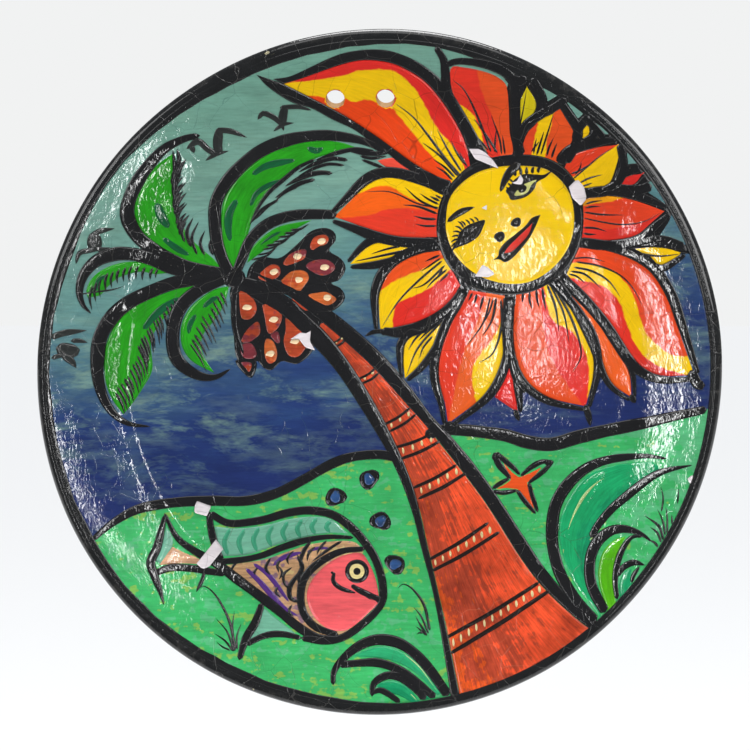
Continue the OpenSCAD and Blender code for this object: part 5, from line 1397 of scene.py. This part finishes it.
FISH_LINES = [([(-51, -42.5), (-45, -45.5), (-36, -44.7), (-27, -42.3), (-20, -41.6), (-13, -43.2),
    (-6.5, -48.3), (-1.5, -55), (1, -62), (1.6, -68)], 2.6, 0.8, 0.9),
    ([(-48.5, -57.2), (-41, -56.5), (-35, -55.2), (-29, -52.8), (-22, -50.6), (-15, -49.5), (-7.5, -49.7)],
    2.0, 0.9, 0.5), ([(-51.2, -42), (-50.4, -48), (-49, -53), (-47.3, -57)], 2.2, 0.8, 0.9),
    ([(-4, -53), (-11.5, -54), (-18, -57.5), (-22.2, -62), (-23.4, -67.5), (-22.3, -73), (-18.5, -76.8),
    (-12, -79)], 2.5, 0.6, 0.7), ([(1, -60), (1.7, -67.5), (-1, -72.3), (-6, -76.8), (-11, -79.8),
    (-16.5, -80.8), (-23, -79.8)], 2.3, 0.8, 0.7), ([(-64.6, -42.6), (-61, -49.5), (-56, -53.6), (-49, -57.7),
    (-42, -62.8), (-36, -67.2), (-30, -71.8), (-24, -76.6), (-18, -79.8), (-12, -80.4)], 2.9, 0.3, 0.8),
    ([(-64.4, -43), (-65.5, -48), (-66.6, -53), (-68.2, -57), (-67, -61), (-65.2, -65.5), (-64, -69.6)], 2.7,
    0.4, 0.1), ([(-67, -60.3), (-62.5, -58.7), (-56.5, -59), (-51, -60), (-46, -60.8)], 2.3, 0.8, 0.8),
    ([(-35, -69.5), (-36.8, -75), (-39.6, -80), (-41.3, -86)], 2.5, 0.7, 0.6),
    ([(-39.5, -81.5), (-34, -79), (-29, -78.6), (-23, -79.8)], 1.9, 0.9, 0.7),
    ([(-20.3, -50.8), (-22.6, -54), (-23.8, -58.4)], 1.3, 0.5, 0.4), ([(-15.5, -50.6), (-17.7, -53),
    (-18.6, -55)], 0.8, 0.8, 0.3), ([(-11, -50.8), (-15, -53.3), (-20, -57)], 0.9, 0.8, 0.3),
    ([(-32.5, -56), (-34, -59), (-32, -61.8)], 1.0, 0.6, 0.3), ([(-26, -58.8), (-28.6, -61), (-28, -64.3),
    (-26, -65)], 0.9, 0.4, 0.3), ([(-23.5, -60), (-26.6, -64.5), (-26.5, -68), (-24, -69.3)], 1.6, 0.5, 0.5),
    ([(-24.5, -55), (-23, -58.5), (-24, -61.5), (-23.5, -64.5)], 1.5, 0.4, 0.5),
    ([(-30, -58.5), (-29, -60.5), (-30, -62.5)], 0.8, 0.5, 0.3), ([(-14.8, -60.2), (-13.4, -60.6),
    (-13.6, -62.8), (-11.3, -65), (-6.2, -66.6)], 1.4, 0.7, 0.5), ([(-8.4, -63.9), (-5, -66), (1, -68.6)],
    1.9, 0.6, 0.9), ([(-29, -56), (-30.5, -58), (-30, -60.5)], 0.9, 0.5, 0.3),
    ([(-25.5, -53.8), (-27.5, -56), (-27, -58)], 0.9, 0.5, 0.3), ([(-36, -58.5), (-37.5, -60.5),
    (-36.5, -62.5)], 0.8, 0.5, 0.3), ([(-29.5, -64), (-31, -66), (-29.5, -68)], 0.9, 0.5, 0.3),
    ([(-26, -70), (-27, -72), (-25.5, -73.5)], 0.9, 0.5, 0.3), ([(-19, -52.5), (-21, -54.5), (-21.5, -57)],
    0.9, 0.5, 0.3), ([(-5.5, -66.3), (-3, -68), (0.5, -69.3)], 0.9, 0.5, 0.6),
    ([(-4.6, -64.5), (-3.4, -64.4)], 0.8, 0.7, 0.5), ([(-9, -63.3), (-7.8, -64.8), (-6.5, -63.8)], 0.6, 0.5,
    0.3), ([(-52.3, -59.5), (-53, -62.5), (-54.6, -66)], 1.2, 0.6, 0.3),
    ([(-45, -60.5), (-43, -57.5), (-40.5, -57)], 0.8, 0.5, 0.4)]
fish_lines = [stroke(points, wide, start=start, end=end, top=0.42 + 0.004 * (k % 7)) for k,
    (points, wide, start, end) in enumerate(FISH_LINES)]
fish_lines += [oval((-6.4, -59.9), 7.3, 7.2, top=0.44), oval((-6.4, -59.9), 2.7, 2.7, top=0.56, step=0.4)]
finish_piece(joined("fish_black_lines", fish_lines), "fish_outline", black)
eye = joined("fish_eye_ring", [patch([(-3.9, -59.9), (-4.7, -58), (-6.4, -57.4), (-8.2, -58), (-8.9, -59.9),
    (-8.1, -61.8), (-6.4, -62.4), (-4.7, -61.7)], (-6.4, -59.9), top=0.50, step=0.5, tone=0.0)])
finish_piece(eye, "fish_eye", paint("eye_cream_paint", ["#f0dc98"], streak=0.2, mottle=0.1))

# %% [markdown]
# ## Shore, leaves and small things
# What is left are the black shore, two curled leaves at the lower right, a leafy plant at the bottom, tufts
# of grass, four birds, four bubbles and a starfish.

# %% Shore lines
shore = joined("shore_black_lines", [stroke([(-90, -55.5)] + shore_left, 3.1, start=0.5, end=0.9, top=0.34,
    belly=0.3), stroke(shore_right, 4.0, start=0.8, end=0.6, top=0.33)])
finish_piece(shore, "shore_lines", black)

# %% [markdown]
# ## Leaves at the rim
# The curled leaves are crescents like the fronds, with thin pale strokes along them. Their outlines run to
# the rim and end there, under its black.

# %% Leaves
WAVE_OUT = [(68, -74.6), (64, -69), (59, -63), (55.3, -54.5), (54.2, -46), (57, -38), (62.5, -31),
    (71, -27.6), (82, -26.2)]
WAVE_IN = [(68, -74.6), (64.5, -66), (62.3, -58.5), (63.8, -51), (68.5, -43), (75.5, -36), (82, -30.5),
    (84, -28.3), (82, -26.2)]
wave_tone = divide([(70, -72), (60, -52), (72, -36), (84, -28)], soft=7)
wave = joined("wave_leaf_film", [leaf(WAVE_OUT, WAVE_IN, tone=lambda x, z: 0.5 * wave_tone(x, z))]
    + [stroke(points, wide, start=0.3, end=0.5, top=0.31, tone=1.0) for points,
    wide in (([(76, -30), (68, -31.5), (62.5, -36), (58.5, -43), (56.2, -50), (55.6, -54)], 0.9),
    ([(62.5, -43.7), (59.5, -46), (57.8, -50), (56.8, -54.5)], 0.5), ([(66, -48), (61, -52), (58.3, -57)],
    0.5), ([(57.6, -42), (56.2, -47), (55.8, -51)], 0.5))])
finish_piece(wave, "wave_leaf", paint("wave_green_paint", ["#0f8f60", "#19a968", "#b9d58a"],
    streak=0.3, mottle=0.15, edge=0.12))
lime = joined("lime_leaf_film", [leaf([(69.5, -71.5), (66.6, -65), (65.8, -59), (67.2, -53.5), (70.5, -49.8),
    (74.3, -48.4)], [(72, -69.5), (70.6, -62.5), (71, -55.5), (74.3, -48.4)], tone=0.0),
    leaf([(73.2, -67.5), (72.2, -63), (73.5, -59), (76, -58)], [(76.8, -64.3), (76.2, -61), (76, -58)],
    tone=1.0)])
finish_piece(lime, "lime_leaf", paint("lime_green_paint", ["#56b80f", "#129c63"], streak=0.3,
    mottle=0.15, edge=0.1))
bottom = joined("bottom_leaf_films", [leaf([(19.5, -96), (16, -91), (11.5, -86.2), (5, -82.8), (-1, -82.3),
    (-8.5, -85.3)], [(18, -96.5), (13.5, -91.5), (8, -87.8), (1, -85.7), (-8.5, -85.3)], tone=0.3),
    leaf([(13, -98.5), (9.5, -94), (5.5, -92), (1, -92.5), (-0.5, -94)],
    [(11, -99), (6.5, -96.5), (3, -95.5), (-0.5, -94)], tone=0.2), leaf([(17, -97), (12.5, -93.5),
    (8, -90.8)], [(14.5, -98), (11, -95.5), (8, -90.8)], tone=0.2)] + [stroke(points, wide, start=0.3,
    end=0.3, top=0.31, tone=1.0) for points, wide in (([(3, -84), (9, -86.2), (14, -90.5), (18, -95)], 0.5),
    ([(8, -84.3), (12.5, -88), (17, -93.5)], 0.4), ([(4, -92.8), (8, -94.2), (12, -98)], 0.5))])
finish_piece(bottom, "bottom_leaves", paint("bottom_leaf_paint",
    ["#0f9460", "#2cab70", "#c6dc9a"], streak=0.3, mottle=0.15, edge=0.12))
LEAF_LINES = [([(86, -25.4), (79.5, -24.7), (70, -25.8), (62.4, -28.6), (56.7, -33.7), (53.2, -40),
    (52.2, -47.7), (52.8, -54), (54.7, -60.4), (58.5, -66.7), (63.6, -72.4), (67.5, -76)], 3.7, 0.2, 0.9),
    ([(94, -27.2), (87.8, -28.3), (82.7, -30.2), (77, -34.4), (70.6, -40), (66.2, -45.1), (63.7, -49.3)], 2.7,
    0.1, 0.7), ([(82, -50.2), (78.3, -47.6), (73.8, -46.4), (69.4, -47.2), (65.6, -50.4), (63.6, -55.2),
    (63.4, -61), (65, -66), (68.5, -71.5)], 3.4, 0.1, 0.9), ([(79, -48.5), (75.5, -49), (72.3, -54),
    (70.9, -61), (72, -67), (73.5, -70.5)], 1.9, 0.3, 0.8), ([(80.4, -57.4), (76.5, -56.2), (73.3, -57.6),
    (71.3, -60.5)], 2.0, 0.1, 0.6), ([(78.5, -57.5), (76.5, -61), (77.2, -65)], 1.6, 0.3, 0.7),
    ([(-13.2, -93.3), (-13, -89.5), (-10.6, -86), (-5.8, -82.2), (-0.2, -80.3), (6.1, -81.1), (11.7, -84.6),
    (16.4, -89.5), (21.5, -96.6)], 3.2, 0.4, 0.9), ([(-11.5, -87.6), (-5, -87), (0.6, -87), (6.9, -89),
    (12.5, -92.8), (18, -97.8)], 2.6, 0.7, 0.9), ([(-1.4, -96.8), (-1, -92.8), (3, -90.5), (7.7, -91.3),
    (12.5, -95.2), (15, -98.5)], 2.5, 0.5, 0.9), ([(-2, -96), (1.2, -94.8), (5.5, -97.5), (7.5, -99.3)], 2.0,
    0.5, 0.8)]
finish_piece(joined("leaf_black_lines", strokes(LEAF_LINES, 0.38, 0.005)), "leaf_outlines",
    black)

# %% [markdown]
# ## Birds, grass, bubbles and the starfish
# These are single touches of the brush: a stroke is enough for a wing or a blade. A bubble is a blue dot on a
# black one, and the starfish has straight edges, so its outline isn't smoothed.

# %% Birds, grass, bubbles and starfish
BIRD_LINES = [([(-57.2, 67), (-53.8, 69.2), (-51, 67), (-48.3, 65.2)], 1.9, 0.3, 0.9),
    ([(-47.8, 65.6), (-48, 69), (-47.3, 73.3)], 2.9, 0.9, 0.6), ([(-48.5, 72.6), (-44, 72.3), (-39.3, 70.5)],
    1.7, 0.9, 0.1), ([(-51.8, 63.6), (-49, 65.3), (-44.8, 66.6)], 1.3, 0.2, 0.1),
    ([(-55.8, 68), (-55, 65.8)], 1.6, 0.9, 0.2), ([(-36, 75.8), (-34.3, 77.6), (-31.2, 76.4), (-28.4, 74.2)],
    1.7, 0.4, 0.9), ([(-28.9, 74.3), (-28.3, 77.5), (-27.6, 80)], 2.7, 0.9, 0.7),
    ([(-29.3, 79.3), (-24, 79.6), (-20, 78.6)], 1.4, 0.9, 0.3), ([(-31.4, 72.4), (-28.5, 74.4),
    (-25.2, 74.9)], 1.2, 0.2, 0.1), ([(-28.8, 74.5), (-28.4, 72.6)], 0.9, 0.8, 0.2),
    ([(-90.4, 32.6), (-89.4, 35.8), (-86.5, 36.6), (-83.5, 37.3)], 1.6, 0.2, 0.9),
    ([(-84.6, 36.6), (-84.8, 39.5), (-84.5, 42)], 4.2, 0.8, 0.8), ([(-86.5, 40.5), (-83, 42.4),
    (-78.8, 43.2)], 1.7, 0.9, 0.1), ([(-85, 37.5), (-82.5, 36.9), (-80.3, 37.6)], 1.5, 0.8, 0.1),
    ([(-98.3, 10.6), (-93.5, 12), (-87.4, 12.7)], 1.9, 0.9, 0.1), ([(-96.5, 7.5), (-92, 6.5), (-89.5, 7)],
    4.4, 0.6, 0.7), ([(-92, 9.5), (-89.5, 9.6), (-87.2, 9)], 1.4, 0.9, 0.1),
    ([(-94.5, 5.8), (-91.8, 3.4), (-90.5, 1.4)], 2.4, 0.9, 0.1), ([(-98, 4.4), (-95, 5.2), (-92.5, 5.5)], 1.4,
    0.9, 0.8)]
birds = joined("bird_strokes", strokes(BIRD_LINES, 0.34, 0.003, belly=0.4))
finish_piece(birds, "birds", paint("faded_black_paint", ["#2c2f2e"], streak=0.3, mottle=0.25,
    crack_tint="#5c5a54", crack=0.35))
BLADES = [([(-42.6, -83.4), (-44.5, -75), (-48.6, -67.5), (-52.3, -64.4), (-54.6, -65.6)], 0.8),
    ([(-43, -83.5), (-45, -78), (-48.6, -73.8)], 0.6), ([(-43.3, -83.4), (-45.5, -80.5), (-48.8, -78.2)],
    0.6), ([(-42.5, -83), (-43.6, -77), (-43.2, -71.8)], 0.7), ([(-42, -83), (-42.2, -79), (-41, -75.3)],
    0.6), ([(-44, -83.2), (-46.5, -82), (-48.2, -80.6)], 0.5), ([(15.6, -77.5), (13.8, -70), (10.5, -65.3),
    (7.6, -63.7), (5.9, -65)], 0.9), ([(15.2, -78.4), (13, -73.5), (10.6, -70.5)], 0.7),
    ([(14.8, -79), (12.8, -76), (11.2, -73.2)], 0.7), ([(14.6, -79), (12.6, -77.3), (11.2, -76.3)], 0.6),
    ([(13.6, -78.3), (12.4, -78.2), (11.6, -78.8)], 0.5), ([(84.6, -52.4), (83, -50.5), (80.6, -49.3)], 0.8),
    ([(85.4, -51), (83.6, -47.5), (81, -45.5)], 0.8), ([(86, -50.3), (84, -45.5), (79.4, -42.2)], 0.9),
    ([(86.6, -49.5), (85.3, -44.5), (83.3, -40.3)], 0.7), ([(87, -48.5), (86.6, -43.5), (85.8, -39.5)], 0.7),
    ([(88, -48), (88.3, -44.5), (88, -42)], 0.7), ([(84.5, -41), (85, -37), (84.3, -33.5)], 0.5),
    ([(92.5, -40), (93, -37.5), (92.6, -35)], 0.6)]
grass = joined("grass_strokes", [stroke(p, w, start=0.9, end=0.1, top=0.36, belly=0.3, step=0.6) for p,
    w in BLADES])
finish_piece(grass, "grass", black)
BUBBLES = [(-2.8, -32.1), (-12.9, -37.5), (0.7, -44.7), (5.1, -57.7)]


def round_blot(centre, size, seed):
    """A hand-painted dot: a circle whose radius wanders."""
    a = np.linspace(0, 2 * np.pi, 11, endpoint=False)
    r = size * (1 + 0.12 * np.sin(2 * a + seed) + 0.1 * np.sin(3 * a + 2 * seed))
    return np.stack([centre[0] + r * np.cos(a), centre[1] + r * np.sin(a)], axis=-1)


rings = joined("bubble_black_rings", [patch(round_blot(c, 3.0, k), c, top=0.28) for k,
    c in enumerate(BUBBLES)])
finish_piece(rings, "bubble_rings", black)
cores = joined("bubble_blue_dots", [patch(round_blot(c, 1.65, k + 4), c, top=0.36, step=0.6, tone=0.0) for k,
    c in enumerate(BUBBLES)])
finish_piece(cores, "bubbles", paint("bubble_blue_paint", ["#2b4d7e"], along="plate", streak=0.4,
    mottle=0.3))
star = joined("starfish_film", [patch([(37.6, -27), (40.5, -30.2), (42.4, -31.4), (45.2, -30.3),
    (49.3, -28.2), (46.5, -31.4), (44.7, -33), (45.6, -36.5), (46.9, -41), (44, -37.3), (41.8, -34.9),
    (38.5, -34.6), (35.2, -35), (38, -33.6), (39.8, -32.2)], (42.4, -33), tone=0.0, smooth_line=False,
    step=0.8)])
finish_piece(star, "starfish", paint("starfish_orange_paint", ["#f0561c"], along="plate",
    streak=0.15, mottle=0.1))
STAR_LINES = [([(34.8, -24), (36.2, -27.5), (38.5, -30.3), (39.8, -31.8)], 1.9, 0.9),
    ([(35.2, -24), (38.2, -26.5), (40.8, -28.6), (42.6, -30.6)], 1.6, 0.9),
    ([(52.7, -26.7), (49, -26.7), (45.5, -28.6), (42.8, -31)], 1.6, 0.5),
    ([(52.5, -26.5), (49.5, -29.6), (46.5, -32), (45, -33.2)], 1.5, 0.5),
    ([(45.2, -33), (46.3, -37), (47.9, -41.8)], 1.4, 0.8), ([(41.7, -35.2), (44, -38.5), (47.3, -42.3)], 1.5,
    0.8), ([(34.3, -34.8), (37, -33), (39.5, -31.6)], 1.4, 0.7), ([(34.3, -35.5), (37.5, -36), (41.8, -35.3)],
    1.4, 0.7), ([(34.9, -24.5), (35.7, -26.5)], 2.2, 0.9), ([(50, -27.2), (52.6, -26.8)], 1.8, 0.9)]
star_lines = joined("starfish_black_lines", [stroke(p, w, start=a, end=0.5, top=0.36 + 0.004 * k, step=0.6)
    for k, (p, w, a) in enumerate(STAR_LINES)])
finish_piece(star_lines, "starfish_outline", black)

# %% [markdown]
# ## Chips
# Where the paint has flaked off down to the chalk the edges are straight, as chalk breaks. Each chip is a
# small flat patch of the ground with a broken outline.

# %% Chips
CHIPS = [[(27.2, 67), (29, 64), (36.2, 61), (34.5, 63.5), (32, 66), (30, 67)],
    [(57, 55.5), (58.5, 57), (59.6, 57.7), (61.5, 55.5), (62.3, 52), (60.6, 49.8), (58, 52.3)],
    [(40, 56.8), (41.5, 57.3), (42.6, 59.3), (43.5, 57.8), (43, 56.3), (41.3, 56.4)],
    [(31, 49.3), (32.6, 50.3), (32.5, 48.7)], [(29, 28.9), (31.3, 32.3), (33, 31.5), (35, 29.6), (33, 28.6)],
    [(-26.5, 10), (-23.5, 12), (-21.5, 11.8), (-20.3, 12.7), (-20.6, 9.4), (-19, 6.6), (-22, 7.6),
    (-24, 10.2)], [(-55.4, -40.3), (-54.8, -38.8), (-50.4, -40.4), (-51.8, -43.4), (-55.6, -42.4)],
    [(-54.8, -57.7), (-49, -50.4), (-46.8, -53.3), (-51, -58.6), (-53, -59.3)],
    [(92.6, -31.3), (94, -30.2), (95.8, -31.2), (95.3, -33), (93.3, -32.6)]]
chip_films = [patch(outline, top=0.80, step=0.9, smooth_line=False, tone=0.0) for outline in CHIPS]
chip_mesh = joined("chips", chip_films)
join_into(ground, chip_mesh)
finish_piece(ground, "white_ground", chalk)

# %% [markdown]
# ## The scene
# A pale floor and a pale room. Two tall soft lights stand to the right and left of the camera, where the
# crease and the rim reflect them as broken lines; a small one near the camera makes the glare under the sun.
# Broad dim panels fill the shadows.

# %% Floor, lights and camera
bpy.data.objects.remove(drills)
FLOOR_SIZE, FLOOR_HEIGHT, FLOOR_SPLIT = 40.0, -0.30, -0.12
floor_paint = bpy.data.materials.new("pale_floor_paint")
floor_paint.use_nodes = True
for socket, value in (("Base Color", colour("#f0f1f2")), ("Roughness", 0.9), ("Specular IOR Level", 0.0)):
    floor_paint.node_tree.nodes["Principled BSDF"].inputs[socket].default_value = value


def floor_sheet(name, near, far):
    """A level pale sheet between two depths, as wide as the floor."""
    half = FLOOR_SIZE / 2
    corners = [(-half, near, FLOOR_HEIGHT), (half, near, FLOOR_HEIGHT), (half, far, FLOOR_HEIGHT),
        (-half, far, FLOOR_HEIGHT)]
    mesh = bpy.data.meshes.new(name)
    mesh.from_pydata(corners, [], [(0, 1, 2, 3)])
    mesh.materials.append(floor_paint)
    sheet = bpy.data.objects.new(name, mesh)
    scene.collection.objects.link(sheet)
    return sheet


# The floor in front of the plate is only seen. It would throw its pale light up into the gloss of the painted
# face.
floor = floor_sheet("pale_floor", FLOOR_SPLIT, FLOOR_SIZE)
front_floor = floor_sheet("pale_floor_front", -FLOOR_SIZE, FLOOR_SPLIT)
front_floor.visible_diffuse = front_floor.visible_glossy = False

world = bpy.data.worlds.new("pale_room")
scene.world = world
world.use_nodes = True
room = world.node_tree
room.nodes.clear()
path = add(room, "LightPath").outputs["Is Camera Ray"]
seen = add(room, "Background", None, Color=colour("#f1f2f2"), Strength=1.0).outputs[0]
lit = add(room, "Background", None, Color=(0.93, 0.96, 1.0, 1), Strength=0.24).outputs[0]
add(room, "OutputWorld", None, Surface=add(room, "MixShader", None, i0=path, i1=lit, i2=seen).outputs[0])


def panel(name, place, target, wide, tall, power):
    """A rectangular light at a place, turned so that it shines at the target."""
    light = bpy.data.lights.new(name, "AREA")
    light.shape, light.size, light.size_y, light.energy = "RECTANGLE", wide, tall, power
    lamp = bpy.data.objects.new(name, light)
    scene.collection.objects.link(lamp)
    lamp.location = place
    lamp.rotation_euler = (Vector(target) - Vector(place)).to_track_quat("-Z", "Y").to_euler()


# Each panel's place, the point that it shines at, its width and height in metres, and its power in watts.
PANELS = {
    "right_strip": ((0.38, -0.90, 0.02), (0, 0, 0), 0.014, 1.05, 1.5),
    "left_strip": ((-0.68, -0.90, 0.05), (0, 0, 0), 0.02, 0.9, 1.8),
    "near_glare": ((0.030, -0.98, 0.008), (0.03, 0, 0.01), 0.014, 0.085, 0.10),
    "right_fill": ((1.15, -0.95, 0.65), (0, 0, 0), 0.9, 0.9, 12.0),
    "left_fill": ((-1.2, -0.9, 0.7), (0, 0, 0), 0.9, 0.9, 8.5),
    "top_fill": ((0.0, -0.5, 1.3), (0, 0, 0), 1.0, 0.7, 5.0)}
for panel_name, settings in PANELS.items():
    panel(panel_name, *settings)
sun_lamp = bpy.data.lights.new("floor_light", "SUN")
sun_lamp.energy, sun_lamp.angle = 2.6, 0.6
floor_light = bpy.data.objects.new("floor_light", sun_lamp)
scene.collection.objects.link(floor_light)
# Tilted so that it shines from behind the plate: it lights the floor and the back, and misses the painted
# face.
floor_light.rotation_euler = (math.radians(-18), 0, 0)

camera_data = bpy.data.cameras.new("camera")
camera = bpy.data.objects.new("camera", camera_data)
scene.collection.objects.link(camera)
DISTANCE, VIEW_WIDTH = 0.80, 0.2250  # metres: from the plate to the lens, and what the picture spans there
SENSOR = 36                          # mm
side_turn, rise = math.radians(3.0), math.radians(1.5)
aim = Vector((-0.0009, -0.007, -0.0007))
toward_camera = Vector((math.sin(side_turn) * math.cos(rise), -math.cos(side_turn) * math.cos(rise),
    math.sin(rise)))
camera.location = aim + DISTANCE * toward_camera
camera.rotation_euler = (aim - camera.location).to_track_quat("-Z", "Y").to_euler()
camera_data.sensor_width = SENSOR
camera_data.lens = SENSOR * DISTANCE / VIEW_WIDTH
camera_data.clip_start = 0.01
scene.camera = camera
print("lens:", round(camera_data.lens, 1), "mm")
